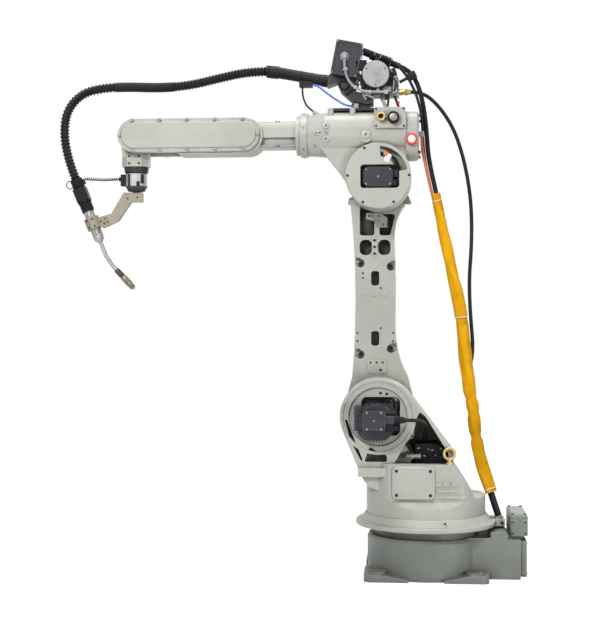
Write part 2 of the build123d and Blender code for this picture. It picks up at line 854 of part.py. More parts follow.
# Plate with the cable sockets on the near side of the housing
socket_plate_y = housing_near_half + 11
socket_plate_z = upper_housing_top - 26
socket_plate_x = housing_back_x + 50.5
with BuildPart() as connector_panel:
    with BuildSketch(facing_near(socket_plate_y)):
        with Locations((socket_plate_x, socket_plate_z)):
            RectangleRounded(99, 66, 6)
    extrude(amount=socket_plate_y - 30)
    with BuildSketch(facing_front(housing_back_x - 10)):
        with Locations((housing_middle_y, housing_middle_z)):
            RectangleRounded(housing_width, housing_height, housing_corner)
    extrude(amount=150, mode=Mode.SUBTRACT)
connector_panel.part.label = "connector_panel"

with BuildPart() as panel_connectors:
    with BuildSketch(facing_near(socket_plate_y)):
        with Locations((socket_plate_x - 11.5, socket_plate_z - 2)):
            Circle(17)
        with Locations((socket_plate_x + 27.5, socket_plate_z + 1)):
            RegularPolygon(15, 6)
            Circle(8, mode=Mode.SUBTRACT)
    extrude(amount=-18)
panel_connectors.part.label = "panel_connectors"

# Rear cover of the roll gear
with BuildPart() as rear_cover:
    with BuildSketch(facing_front(housing_back_x)):
        with Locations((housing_middle_y, (upper_housing_top + rear_cover_bottom) / 2)):
            RectangleRounded(housing_width - 8, upper_housing_top - rear_cover_bottom, rear_cover_corner)
    extrude(amount=-rear_cover_length)
    chamfer(rear_cover.faces().sort_by(Axis.X)[0].edges(), length=8)
rear_cover.part.label = "rear_cover"

# Signal lamp on the side of the rear cover
with BuildPart() as status_lamp:
    lamp_seat_y = housing_near_half - 4
    with BuildSketch(facing_near(lamp_seat_y)):
        with Locations((45, 1379)):
            Circle(17)
    extrude(amount=-8)
    with BuildSketch(facing_near(lamp_seat_y + 8)):
        with Locations((45, 1379)):
            Circle(12.5)
    extrude(amount=-9)
    fillet(status_lamp.faces().sort_by(Axis.Y)[-1].edges(), radius=4)
status_lamp.part.label = "status_lamp"

# Feeder plate on four bosses
plate_middle_x = (plate_back_x + plate_front_x) / 2
plate_length = plate_front_x - plate_back_x
with BuildPart() as feeder_plate:
    with BuildSketch(Plane.XY.offset(upper_housing_top)):
        with Locations((plate_middle_x, 5)):
            with GridLocations(plate_length - 50, 26, 2, 2):
                Circle(8)
    extrude(amount=plate_boss_height)
    with BuildSketch(Plane.XY.offset(upper_housing_top + plate_boss_height)):
        with Locations((plate_middle_x, plate_near_y - plate_width / 2)):
            RectangleRounded(plate_length, plate_width, 6)
    extrude(amount=plate_thickness)
feeder_plate.part.label = "feeder_plate"

# Curved cradle that carries the feeder
with BuildPart() as feeder_cradle:
    with BuildSketch(Plane.XY.offset(feeder_floor)):
        with Locations((plate_back_x + 44, 0)):
            RectangleRounded(60, 56, 5)
    extrude(amount=16)
    with BuildSketch(facing_near(cradle_half_width)) as cradle_profile:
        with BuildLine():
            Polyline(
                (168, feeder_floor + 16),
                (191, feeder_floor + 12),
                (236, feeder_floor + 25),
                (274, feeder_floor + 59),
                (284, feeder_floor + 86),
                (246, feeder_floor + 80),
                (224, feeder_floor + 54),
                (205, feeder_floor + 49),
                (168, cradle_top),
                close=True,
            )
        make_face()
    extrude(amount=2 * cradle_half_width)
feeder_cradle.part.label = "feeder_cradle"

# Gear plate of the feeder, and its two slanting struts down to the housing
with BuildPart() as feeder_gear_plate:
    with BuildSketch(facing_near(36)):
        with BuildLine():
            Polyline(
                (feeder_back_x, cradle_top),
                (168, cradle_top),
                (205, cradle_top + 9),
                (210, cradle_top + 39),
                (206, cradle_top + 73),
                (196, cradle_top + 97),
                (150, cradle_top + 104),
                (112, cradle_top + 87),
                (feeder_back_x, cradle_top + 53),
                close=True,
            )
        make_face()
    extrude(amount=66)
    for strut_y in (26, -6):
        with BuildSketch(facing_near(strut_y)):
            with BuildLine():
                Polyline(
                    (148, cradle_top), (138, cradle_top), (112, upper_housing_top), (124, upper_housing_top),
                    close=True,
                )
            make_face()
        extrude(amount=10)
feeder_gear_plate.part.label = "feeder_gear_plate"

# Round motor of the feeder with its silver end cover
with BuildPart() as feeder_motor:
    with BuildSketch(facing_near(36)):
        with Locations((feeder_motor_x, feeder_motor_z)):
            Circle(feeder_motor_radius - 3)
    extrude(amount=-12)
    with BuildSketch(facing_near(48)):
        with Locations((feeder_motor_x, feeder_motor_z)):
            Circle(feeder_motor_radius)
    extrude(amount=-14)
    fillet(feeder_motor.faces().sort_by(Axis.Y)[-1].edges(), radius=3)
feeder_motor.part.label = "feeder_motor"

# Box in front of the feeder motor, tilted back, with a raised rim, and square to the pipe below
pipe_length = hypot(pipe_end[0] - pipe_start[0], pipe_end[1] - pipe_start[1])
pipe_low = (
    (pipe_radius + pipe_collar) * (pipe_end[1] - pipe_start[1]) / pipe_length,
    -(pipe_radius + pipe_collar) * (pipe_end[0] - pipe_start[0]) / pipe_length,
)
box_tilt = radians(-feeder_tilt)
feeder_box_plane = Plane(
    origin=(feeder_box_x, feeder_box_near_y, feeder_box_z),
    x_dir=(cos(box_tilt), 0, -sin(box_tilt)),
    z_dir=(0, -1, 0),
)
with BuildPart() as feeder_box:
    with BuildSketch(feeder_box_plane):
        RectangleRounded(feeder_box_length, feeder_box_height, 5)
    extrude(amount=feeder_box_depth)
    with BuildSketch(feeder_box_plane):
        RectangleRounded(feeder_box_length - 12, feeder_box_height - 12, 3)
    extrude(amount=3, mode=Mode.SUBTRACT)
    # Block under the box that stands in the cradle
    with BuildSketch(facing_near(30)):
        with BuildLine():
            Polyline(
                (224, feeder_floor + 54),
                (246, feeder_floor + 80),
                (284, feeder_floor + 86),
                (pipe_start[0] + pipe_low[0], pipe_start[1] + pipe_low[1]),
                (pipe_start[0] - pipe_low[0], pipe_start[1] - pipe_low[1]),
                (222, feeder_floor + 113),
                close=True,
            )
        make_face()
    extrude(amount=60)
feeder_box.part.label = "feeder_box"

# Cable connectors behind the box
connector_start = (199.0, feeder_floor + 186)
connector_end = (84.0, feeder_floor + 139)
connector_length = hypot(connector_end[0] - connector_start[0], connector_end[1] - connector_start[1])
connector_way = (
    (connector_end[0] - connector_start[0]) / connector_length,
    (connector_end[1] - connector_start[1]) / connector_length,
)
signal_y = 42.0
signal_plug_length = 68.0
with BuildPart() as feeder_connectors:
    connector_plane = tilted_plane(connector_start, connector_end)
    with BuildSketch(connector_plane):
        Circle(10)
    extrude(amount=connector_length)
    with BuildSketch(connector_plane.offset(24)):
        Circle(14)
    extrude(amount=22)
    with BuildSketch(connector_plane.offset(50)):
        Circle(15)
    extrude(amount=46)
    # Thinner one beside it, joined by the collar's tab
    with BuildSketch(connector_plane):
        with Locations((signal_y, 0)):
            Circle(7)
    extrude(amount=signal_plug_length)
    with BuildSketch(connector_plane.offset(24)):
        with Locations((signal_y / 2, 0)):
            Rectangle(signal_y, 10)
    extrude(amount=10)
feeder_connectors.part.label = "feeder_connectors"

# Wire inlet and adjusting knob at the back of the feeder
inlet_z = cradle_top + 18
inlet_y = -16.0
inlet_length = 38.0
with BuildPart() as wire_inlet:
    with BuildSketch(facing_front(feeder_back_x)):
        with Locations((inlet_y, inlet_z)):
            RegularPolygon(11, 6)
    extrude(amount=-14)
    with BuildSketch(facing_front(feeder_back_x - 14)):
        with Locations((inlet_y, inlet_z)):
            Circle(8)
    extrude(amount=14 - inlet_length)
    with BuildSketch(facing_front(feeder_back_x - 20)):
        with Locations((inlet_y, inlet_z)):
            Circle(10)
    extrude(amount=-8)
wire_inlet.part.label = "wire_inlet"

knob_y = 22.0
knob_seat = 2.7
knob_z = cradle_top + 43
with BuildPart() as feeder_knob:
    knob_plane = Plane(origin=(feeder_back_x, knob_y, knob_z), z_dir=(-2, 0, 1))
    with BuildSketch(knob_plane.offset(knob_seat)):
        Circle(5)
    extrude(amount=34)
    with BuildSketch(knob_plane.offset(34)):
        Circle(12)
    extrude(amount=26)
feeder_knob.part.label = "feeder_knob"

# Outlet pipe and the cuff that the torch conduit starts from
with BuildPart() as outlet_pipe:
    with BuildSketch(tilted_plane(pipe_start, pipe_end)):
        Circle(pipe_radius)
    extrude(amount=pipe_length)
    with BuildSketch(tilted_plane(pipe_start, pipe_end)):
        Circle(pipe_radius + pipe_collar)
    extrude(amount=22)
outlet_pipe.part.label = "outlet_pipe"

with BuildPart() as outlet_cuff:
    with BuildSketch(tilted_plane(pipe_start, pipe_end).offset(pipe_length)):
        Circle(cuff_radius)
    with BuildSketch(facing_front(cuff_end[0])):
        with Locations((0, cuff_end[1])):
            Circle(cuff_radius)
    loft()
outlet_cuff.part.label = "outlet_cuff"

# Forearm casting: root flange, channelled tube and the forked gear case
with BuildPart() as forearm_casting:
    with BuildSketch(facing_front(ring_front_x + seat_gap)):
        with Locations((0, roll_z)):
            Circle(forearm_root_radius)
    extrude(amount=12)
    with BuildSketch(facing_front(ring_front_x + seat_gap + 12)):
        with Locations((0, roll_z)):
            RectangleRounded(2 * forearm_half_width, 2 * forearm_half_height, 22)
    extrude(amount=case_rear_x + 40 - ring_front_x - 12)
    with BuildSketch(facing_near(case_half_width)):
        with Locations(((case_rear_x + case_front_x) / 2 - 6, roll_z - 4)):
            SlotOverall(case_front_x - case_rear_x + 6, 2 * case_radius + 4)
    extrude(amount=2 * case_half_width)
    # Channel along the near and far side of the root tube
    for side in (1, -1):
        with BuildSketch(facing_near(side * forearm_half_width)):
            with Locations(((ring_front_x + case_rear_x) / 2 + 6, roll_z - 22)):
                Rectangle(case_rear_x - ring_front_x - 12, channel_height)
        extrude(amount=side * channel_depth, mode=Mode.SUBTRACT)
    # Fork for the wrist, open at the front, top and bottom
    with BuildSketch(Plane.XY.offset(roll_z - 2 * case_radius)):
        with Locations(((slot_root_x + case_front_x + 20) / 2, 0)):
            Rectangle(case_front_x + 20 - slot_root_x, 2 * slot_half_width)
    extrude(amount=4 * case_radius, mode=Mode.SUBTRACT)
    # The cheeks end at the covers' outline
    with BuildSketch(facing_near(case_half_width)):
        with Locations((bend_x, roll_z - 1)):
            Rectangle(2 * (bend_x - slot_root_x), 4 * case_radius)
        with Locations(((case_rear_x + case_front_x) / 2, roll_z - 1)):
            SlotOverall(case_front_x - case_rear_x, 2 * case_radius, mode=Mode.SUBTRACT)
    extrude(amount=2 * case_half_width, mode=Mode.SUBTRACT)
forearm_casting.part.label = "forearm_casting"


def gear_case_cover(name, side):
    """Bolted cover of the gear case with a raised panel, on the side +1 or -1."""
    with BuildPart() as cover:
        with BuildSketch(facing_near(side * case_half_width)):
            with Locations(((case_rear_x + case_front_x) / 2, roll_z - 1)):
                SlotOverall(case_front_x - case_rear_x, 2 * case_radius)
        extrude(amount=-side * (case_cover_thickness - case_panel_height))
        with BuildSketch(facing_near(side * (case_half_width + case_cover_thickness - case_panel_height))):
            with Locations(((case_rear_x + case_front_x) / 2, roll_z - 1)):
                SlotOverall(
                    case_front_x - case_rear_x - 2 * case_panel_inset,
                    2 * case_radius - 2 * case_panel_inset,
                )
        extrude(amount=-side * case_panel_height, taper=35)
    cover.part.label = name
    return cover


gear_case_cover_left = gear_case_cover("gear_case_cover_left", 1)
gear_case_cover_right = gear_case_cover("gear_case_cover_right", -1)

# Wrist housing: hub between the cheeks and the eight-cornered body below it
with BuildPart() as wrist_housing:
    with BuildSketch(facing_near(slot_half_width - seat_gap)):
        with Locations((bend_x, roll_z)):
            Circle(wrist_hub_radius)
    extrude(amount=2 * (slot_half_width - seat_gap))
    with BuildSketch(Plane.XY.offset(wrist_bottom)) as wrist_plan:
        with Locations((bend_x, 0)):
            Rectangle(wrist_length, 2 * wrist_half_width)
        chamfer(wrist_plan.vertices(), length=wrist_chamfer)
    extrude(amount=wrist_shoulder_z - wrist_bottom)
    with BuildSketch(facing_near(wrist_half_width - 6)):
        with BuildLine():
            Polyline(
                (bend_x - wrist_length / 2 + 4, wrist_shoulder_z - 14),
                (bend_x + wrist_length / 2 - 4, wrist_shoulder_z - 14),
                (bend_x + wrist_hub_radius - 2, roll_z),
                (bend_x - wrist_hub_radius + 2, roll_z),
                close=True,
            )
        make_face()
    extrude(amount=2 * wrist_half_width - 12)
wrist_housing.part.label = "wrist_housing"

# Tool flange: ring under the wrist
with BuildPart() as tool_flange:
    with BuildSketch(Plane.XY.offset(wrist_bottom - seat_gap)):
        with Locations((bend_x, 0)):
            Circle(tool_ring_radius)
    extrude(amount=tool_ring_bottom - wrist_bottom + seat_gap)
tool_flange.part.label = "tool_flange"

# Shock sensor with its side socket, and the black base under it
with BuildPart() as collision_sensor:
    with BuildSketch(Plane.XY.offset(tool_ring_bottom)):
        with Locations((bend_x, 0)):
            Circle(sensor_radius)
    extrude(amount=sensor_bottom - tool_ring_bottom)
collision_sensor.part.label = "collision_sensor"

socket_front_x = bend_x + sensor_radius + 16
with BuildPart() as sensor_socket:
    with BuildSketch(facing_front(socket_front_x)):
        with Locations((0, 1266)):
            RectangleRounded(24, 38, 3)
    extrude(amount=bend_x - socket_front_x)
    with BuildSketch(Plane.XY.offset(sensor_bottom)):
        with Locations((bend_x, 0)):
            Circle(sensor_radius)
    extrude(amount=tool_ring_bottom - sensor_bottom, mode=Mode.SUBTRACT)
sensor_socket.part.label = "sensor_socket"

with BuildPart() as sensor_base:
    with BuildSketch(Plane.XY.offset(sensor_bottom)):
        with Locations((bend_x, 0)):
            Circle(sensor_radius - 1)
    extrude(amount=-sensor_base_height, taper=28)
    with BuildSketch(Plane.XY.offset(sensor_bottom - sensor_base_height)):
        with Locations((bend_x, 0)):
            Circle(tool_neck_radius)
    extrude(amount=bracket_top - sensor_bottom + sensor_base_height)
sensor_base.part.label = "sensor_base"

# Torch axis and the distances along it
torch_length = hypot(torch_top[0] - torch_bend[0], torch_top[1] - torch_bend[1])
torch_axis = tilted_plane(torch_top, torch_bend)
torch_way = ((torch_top[0] - torch_bend[0]) / torch_length, (torch_top[1] - torch_bend[1]) / torch_length)

# Bent bracket from the sensor to the torch clamp
with BuildPart() as torch_bracket:
    with BuildSketch(facing_near(bracket_thickness / 2)) as bracket_profile:
        with BuildLine():
            Polyline(
                (924, bracket_top),
                (924, 1194),
                (962, 1194),
                (1005, 1132),
                (1054, 1110),
                (1086, 1118),
                (1096, 1134),
                (1064, 1146),
                (1026, 1157),
                (986, bracket_top),
                close=True,
            )
        make_face()
    extrude(amount=bracket_thickness)
    with BuildSketch(torch_axis.offset(screen_end - 6)):
        Circle(clamp_radius)
    extrude(amount=clamp_end - screen_end + 12, mode=Mode.SUBTRACT)
torch_bracket.part.label = "torch_bracket"

with BuildPart() as torch_clamp:
    with BuildSketch(torch_axis.offset(screen_end)):
        Circle(clamp_radius)
        Circle(torch_radius, mode=Mode.SUBTRACT)
    extrude(amount=clamp_end - screen_end)
torch_clamp.part.label = "torch_clamp"

# Black upper end of the torch: cuff, square box and grip ring
with BuildPart() as torch_connector:
    with BuildSketch(torch_axis):
        Circle(19)
    extrude(amount=cuff_length)
    with BuildSketch(torch_axis.offset(cuff_length)):
        Circle(15)
    extrude(amount=box_start - cuff_length)
    with BuildSketch(torch_axis.offset(box_start)):
        RectangleRounded(42, 42, 5)
    extrude(amount=box_end - box_start)
    with BuildSketch(torch_axis.offset(box_end)):
        Circle(20)
    extrude(amount=grip_end - box_end)
    # Port for the sensor cord on the rear of the cuff
    with BuildSketch(torch_axis.offset(port_start - 8)):
        with Locations((0, -port_reach / 2)):
            Rectangle(14, port_reach)
    extrude(amount=16)
torch_connector.part.label = "torch_connector"

# Metal barrel of the torch
with BuildPart() as torch_body:
    with BuildSketch(torch_axis.offset(grip_end)):
        Circle(torch_radius)
    extrude(amount=barrel_end - grip_end)
    with BuildSketch(torch_axis.offset(barrel_end)):
        Circle(torch_radius - 2)
    with BuildSketch(torch_axis.offset(torch_length)):
        Circle(neck_tube_radius + 2)
    loft()
torch_body.part.label = "torch_body"

# Gooseneck and nozzle
nozzle_length = hypot(neck_end[0] - nozzle_tip[0], neck_end[1] - nozzle_tip[1])
nozzle_root = tuple(
    near + neck_socket * (far - near) / nozzle_length for near, far in zip(neck_end, nozzle_tip)
)
with BuildPart() as torch_neck:
    with BuildLine() as neck_path:
        FilletPolyline(
            (torch_bend[0], 0, torch_bend[1]),
            (torch_bend[0] - neck_straight * torch_way[0], 0, torch_bend[1] - neck_straight * torch_way[1]),
            (neck_end[0], 0, neck_end[1]),
            (nozzle_root[0], 0, nozzle_root[1]),
            radius=42,
        )
    with BuildSketch(Plane(origin=neck_path.line @ 0, z_dir=neck_path.line % 0)):
        Circle(neck_tube_radius)
    sweep()
torch_neck.part.label = "torch_neck"

with BuildPart() as torch_nozzle:
    nozzle_plane = tilted_plane(nozzle_root, nozzle_tip)
    with BuildSketch(nozzle_plane):
        Circle(8.5)
    extrude(amount=handle_length)
    with BuildSketch(nozzle_plane.offset(handle_length)):
        Circle(10.5)
    extrude(amount=26)
    with BuildSketch(nozzle_plane.offset(handle_length + 26)):
        Circle(10.5)
    with BuildSketch(nozzle_plane.offset(nozzle_length - neck_socket)):
        Circle(8)
    loft()
torch_nozzle.part.label = "torch_nozzle"

# Torch conduit in three lengths that meet face to face halfway along a run
conduit_route = [
    (cuff_end[0], 0, cuff_end[1]),
    (575, 0, cuff_end[1]),
    (665, 0, 1598),
    (770, 0, 1574),
    (870, 0, 1568),
    (970, 0, 1573),
    (1050, 0, 1571),
    (1125, 0, 1556),
    (1178, 0, 1500),
    (1189, 0, 1420),
    (torch_top[0] + 64 * torch_way[0], 0, torch_top[1] + 64 * torch_way[1]),
    (torch_top[0], 0, torch_top[1]),
]
conduit_split_rear = part_way(conduit_route, 3)
conduit_split_front = part_way(conduit_route, 5, 0.55)
conduit_rear = cord("conduit_rear", conduit_route[:4] + [conduit_split_rear], conduit_radius)
conduit_middle = cord(
    "conduit_middle",
    [conduit_split_rear] + conduit_route[4:6] + [conduit_split_front],
    conduit_radius,
)
conduit_front = cord("conduit_front", [conduit_split_front] + conduit_route[6:], conduit_radius)

# Sleeved cable bundle from below the elbow down to its cable end on the turntable
gland_radius = 11.0
sleeve_turn = (63.0 - lug_reach, -52.0, 322.0)
sleeve_low = (40.0 - lug_reach, -40.0, 250.0)
bundle_route = [
    (-31, 0, 1214),
    (-46, 0, 1150),
    (-58, 0, 1080),
    (-78, 0, 985),
    (-104, 0, 885),
    (-116, 0, 790),
    (-127, 0, 690),
    (-141, -3, 590),
    (-153, -12, 490),
    (-168, -28, 400),
    sleeve_turn,
    sleeve_low,
]
bundle_split = part_way(bundle_route, 3)
bundle_upper = cord("bundle_upper", bundle_route[:4] + [bundle_split], bundle_radius)
bundle_lower = cord("bundle_lower", [bundle_split] + bundle_route[4:], bundle_radius)

lug_top = turntable_bottom + lug_height
gland_way = tuple(low - turn for low, turn in zip(sleeve_low, sleeve_turn))
gland_length = (sleeve_low[2] - lug_top) * hypot(*gland_way) / -gland_way[2]
with BuildPart() as bundle_gland:
    with BuildSketch(Plane(origin=sleeve_low, z_dir=gland_way)):
        Circle(gland_radius)
    extrude(amount=gland_length + gland_radius)
    with BuildSketch(Plane.XY.offset(lug_top)):
        with Locations((sleeve_low[0], sleeve_low[1])):
            Circle(6 * gland_radius)
    extrude(amount=-4 * gland_radius, mode=Mode.SUBTRACT)
bundle_gland.part.label = "bundle_gland"

# Cables that run from the feeder into the top of the sleeve
sleeve_end = Vector(*bundle_route[0])
sleeve_way = (Vector(*bundle_route[1]) - sleeve_end).normalized()
sleeve_across = Vector(-sleeve_way.Z, 0, sleeve_way.X)


def into_sleeve(across, side, back):
    """Point over the sleeve's end, off its middle by across and side, and back along it."""
    point = sleeve_end + sleeve_across * across + Vector(0, side, 0) - sleeve_way * back
    return (point.X, point.Y, point.Z)


power_cable = cord(
    "power_cable",
    [
        (connector_end[0], 0, connector_end[1]),
        (connector_end[0] + 38 * connector_way[0], 0, connector_end[1] + 38 * connector_way[1]),
        (20, 0, 1556),
        (4, 0, 1480),
        (-4, 0, 1400),
        into_sleeve(-3, 3, 110),
        into_sleeve(-3, 3, 0),
    ],
    power_cable_radius,
)
# Thinner cable beside it
signal_start = tuple(start + signal_plug_length * way for start, way in zip(connector_start, connector_way))
signal_cable = cord(
    "signal_cable",
    [
        (signal_start[0], signal_y, signal_start[1]),
        (signal_start[0] + 38 * connector_way[0], signal_y, signal_start[1] + 38 * connector_way[1]),
        (60, signal_y - 1, 1590),
        (28, 36, 1525),
        (12, 22, 1458),
        (9, 8, 1385),
        into_sleeve(10, -6, 100),
        into_sleeve(10, -6, 0),
    ],
    thin_cable_radius,
)
# Hose from a fitting on the rear cover into the sleeve
fitting_size = 16.0
fitting_x = housing_back_x - rear_cover_length - fitting_size / 2
fitting_y = 30.0
fitting_z = 1402.0
gas_hose = cord(
    "gas_hose",
    [
        (fitting_x, fitting_y, fitting_z - fitting_size / 2),
        (fitting_x, fitting_y, 1358),
        (4, 24, 1318),
        into_sleeve(11, 10, 62),
        into_sleeve(11, 10, 0),
    ],
    thin_cable_radius,
)

# Loop cable from the wire inlet, out behind and down beside the sleeve
loop_route = [
    (feeder_back_x - inlet_length, inlet_y, inlet_z),
    (10, inlet_y, inlet_z),
    (-42, inlet_y, 1500),
    (-88, inlet_y, 1430),
    (-116, inlet_y, 1350),
    (-134, inlet_y, 1270),
    (-145, inlet_y, 1190),
    (-148, inlet_y, 1110),
    (-146, inlet_y, 1030),
    (-140, inlet_y, 950),
    (-141, inlet_y, 870),
    (-146, inlet_y, 795),
    (-152, inlet_y, 725),
    (-146, inlet_y + 2, 665),
    (-126, inlet_y + 8, 620),
]
loop_split = part_way(loop_route, 9)
loop_cable_upper = cord("loop_cable_upper", loop_route[:10] + [loop_split], loop_cable_radius)
loop_cable_lower = cord("loop_cable_lower", [loop_split] + loop_route[10:], loop_cable_radius)

# Clear tube that hangs in front of the feeder
tube_end_size = 14.0
tube_y = 59.5
feeder_tube = cord(
    "feeder_tube",
    [
        (259, tube_y, 1650 - tube_end_size / 2),
        (259, tube_y, 1612),
        (250, tube_y, 1578),
        (230, tube_y, 1552),
        (200, tube_y, 1537),
        (168, tube_y, 1534),
        (126 + tube_end_size / 2, tube_y, 1534),
    ],
    thin_cable_radius,
)

# Hose block under the outlet pipe, and the two thin hoses that hang from it
hose_block_rear_x = 364.0
hose_block_front_x = 407.0
hose_block_bottom = pipe_start[1] - 19.4
thin_hose_radius = 3.0
blue_hose_end = (230.0, 36.3, feeder_floor + 7)
with BuildPart() as hose_block:
    with BuildSketch(facing_near(24)):
        with BuildLine():
            Polyline(
                (hose_block_rear_x, hose_block_bottom),
                (hose_block_front_x, hose_block_bottom),
                (hose_block_front_x, hose_block_bottom + 21),
                (hose_block_rear_x, hose_block_bottom + 15),
                close=True,
            )
        make_face()
    extrude(amount=30)
    with BuildSketch(tilted_plane(pipe_start, pipe_end)):
        Circle(pipe_radius)
    extrude(amount=pipe_length, mode=Mode.SUBTRACT)
hose_block.part.label = "hose_block"


# Small end fittings of the tube and the hoses
with BuildPart() as hose_fittings:
    with BuildSketch(Plane.XY.offset(fitting_z - fitting_size / 2)):
        with Locations((fitting_x, fitting_y)):
            RectangleRounded(fitting_size, fitting_size, 3)
    extrude(amount=fitting_size)
    with BuildSketch(facing_near(feeder_box_near_y - 3)):
        with Locations((259, 1650)):
            RectangleRounded(tube_end_size, tube_end_size, 3)
    extrude(amount=feeder_box_near_y - 3 - tube_y - tube_end_size / 2)
    with BuildSketch(facing_near(36)):
        with Locations((126, 1534)):
            RectangleRounded(tube_end_size, tube_end_size, 3)
    extrude(amount=36 - tube_y - tube_end_size / 2)
    with BuildSketch(Plane.XY.offset(feeder_floor)):
        with Locations((blue_hose_end[0] - 8, blue_hose_end[1])):
            RectangleRounded(16, tube_end_size, 2)
    extrude(amount=tube_end_size)
hose_fittings.part.label = "hose_fittings"

blue_hose = cord(
    "blue_hose",
    [
        (hose_block_rear_x, 18, hose_block_bottom + 6),
        (350, 18, hose_block_bottom + 6),
        (312, 24, feeder_floor + 47),
        (272, 31, feeder_floor + 19),
        (248, blue_hose_end[1], blue_hose_end[2]),
        blue_hose_end,
    ],
    thin_hose_radius,
)
thin_hose = cord(
    "thin_hose",
    [
        (397, 16, hose_block_bottom),
        (397, 16, hose_block_bottom - 26),
        (389, 17, hose_block_bottom - 50),
        tuple(end - 1.4 * step for end, step in zip(thin_hose_end, thin_hose_way)),
        thin_hose_end,
    ],
    thin_hose_radius,
)

# Sensor cord from its socket to the side port of the torch
port_x = torch_top[0] - port_start * torch_way[0] - port_reach * torch_way[1]
port_z = torch_top[1] - port_start * torch_way[1] + port_reach * torch_way[0]
sensor_cord = cord(
    "sensor_cord",
    [
        (socket_front_x, 0, 1270),
        (1018, 0, 1270),
        (1058, 0, 1277),
        (port_x - 20 * torch_way[1], 0, port_z + 20 * torch_way[0]),
        (port_x, 0, port_z),
    ],
    thin_cable_radius,
)

# Cord of the elbow motor, up and round in its channel
elbow_cord = cord(
    "elbow_cord",
    [
        (elbow_plug_x - 3, channel_cord_end[1], elbow_plug_top),
        (elbow_plug_x - 4, channel_cord_end[1], elbow_plug_top + 21),
        (99, channel_cord_end[1], 1323),
        tuple(end - way for end, way in zip(channel_cord_end, channel_cord_way)),
        channel_cord_end,
    ],
    3.5,
)

# Harness from the shoulder motor's plug into the terminal block
harness_radius = 6.5
motor_harness = cord(
    "motor_harness",
    [
        (plug_end_x, plug_y, plug_z),
        (60, plug_y, plug_z),
        (26, 207, 501),
        (6, 172, 491),
        (2, 132, 478),
        tuple(end - 1.2 * step for end, step in zip(harness_end, harness_way)),
        harness_end,
    ],
    harness_radius,
)

parts = (
    base_casting, base_rear_panel, junction_box, junction_box_cap,
    turntable_casting, access_cover, shoulder_motor, terminal_block, lifting_eye, bundle_gland,
    lower_arm_casting, stop_bracket,
    elbow_casting, elbow_motor, connector_panel, panel_connectors, rear_cover, status_lamp,
    feeder_plate, feeder_cradle, feeder_gear_plate, feeder_motor, feeder_box, feeder_connectors,
    wire_inlet, feeder_knob, outlet_pipe, outlet_cuff,
    forearm_casting, gear_case_cover_left, gear_case_cover_right,
    wrist_housing,
    tool_flange, collision_sensor, sensor_socket, sensor_base,
    torch_bracket, torch_clamp, torch_connector, torch_body, torch_neck, torch_nozzle,
    conduit_rear, conduit_middle, conduit_front, bundle_upper, bundle_lower,
    power_cable, gas_hose, loop_cable_upper, loop_cable_lower,
    hose_fittings, feeder_tube, hose_block, blue_hose, thin_hose,
    sensor_cord, motor_harness, signal_cable, elbow_cord,
)
os.makedirs("parts", exist_ok=True)
for piece in parts:
    export_step(piece.part, f"parts/{piece.part.label}.step")
print(len(parts), "parts written")
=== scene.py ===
# Six-axis welding robot arm with a wire feeder, its torch and its cables.
# Metres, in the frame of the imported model: +X forward, +Y to the arm's left, +Z up.
import json
import math
import bpy
from mathutils import Matrix, Vector, noise


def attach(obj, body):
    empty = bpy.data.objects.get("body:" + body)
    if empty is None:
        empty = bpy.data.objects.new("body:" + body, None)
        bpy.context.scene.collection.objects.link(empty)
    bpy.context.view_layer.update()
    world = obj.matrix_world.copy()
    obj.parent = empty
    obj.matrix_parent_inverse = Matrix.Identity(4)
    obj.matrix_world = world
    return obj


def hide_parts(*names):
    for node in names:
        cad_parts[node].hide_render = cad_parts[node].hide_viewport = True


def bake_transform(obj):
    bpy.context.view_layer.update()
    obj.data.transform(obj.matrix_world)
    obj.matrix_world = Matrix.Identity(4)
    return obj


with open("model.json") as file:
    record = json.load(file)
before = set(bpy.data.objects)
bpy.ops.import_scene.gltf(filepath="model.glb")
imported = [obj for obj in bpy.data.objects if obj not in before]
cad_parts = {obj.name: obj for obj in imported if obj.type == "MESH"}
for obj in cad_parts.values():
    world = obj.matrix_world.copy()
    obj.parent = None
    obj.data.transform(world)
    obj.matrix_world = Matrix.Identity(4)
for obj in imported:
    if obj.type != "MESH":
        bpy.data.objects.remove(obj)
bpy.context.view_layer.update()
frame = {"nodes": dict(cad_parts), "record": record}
nodes = frame["nodes"]
print("frame loaded:", len(nodes), "nodes")


def mm(*values):
    return tuple(v / 1000 for v in values)


# Shader groups that several finishes share
def makeGroup(name, inputs, outputs):
    group = bpy.data.node_groups.new(name, "ShaderNodeTree")
    for label, kind, value in inputs:
        socket = group.interface.new_socket(name=label, in_out="INPUT", socket_type=kind)
        socket.default_value = value
    for label, kind in outputs:
        group.interface.new_socket(name=label, in_out="OUTPUT", socket_type=kind)
    return group, group.nodes.new("NodeGroupInput"), group.nodes.new("NodeGroupOutput")


def link(tree, source, target):
    tree.links.new(source, target)


def feed(tree, socket, value):
    # a number or a colour goes into the socket itself, anything else is linked to it
    if isinstance(value, (int, float)):
        socket.default_value = value
    elif isinstance(value, tuple):
        socket.default_value = (*value[:3], 1.0)
    else:
        tree.links.new(value, socket)


def mathNode(tree, operation, a, b, clamp=False):
    node = tree.nodes.new("ShaderNodeMath")
    node.operation = operation
    node.use_clamp = clamp
    feed(tree, node.inputs[0], a)
    feed(tree, node.inputs[1], b)
    return node.outputs[0]


def times(tree, a, b, clamp=False):
    return mathNode(tree, "MULTIPLY", a, b, clamp)


def plus(tree, a, b, clamp=False):
    return mathNode(tree, "ADD", a, b, clamp)


def noiseNode(tree, scale, detail, roughness, vector):
    node = tree.nodes.new("ShaderNodeTexNoise")
    node.inputs["Detail"].default_value = detail
    node.inputs["Roughness"].default_value = roughness
    feed(tree, node.inputs["Scale"], scale)
    link(tree, vector, node.inputs["Vector"])
    return node.outputs["Fac"]


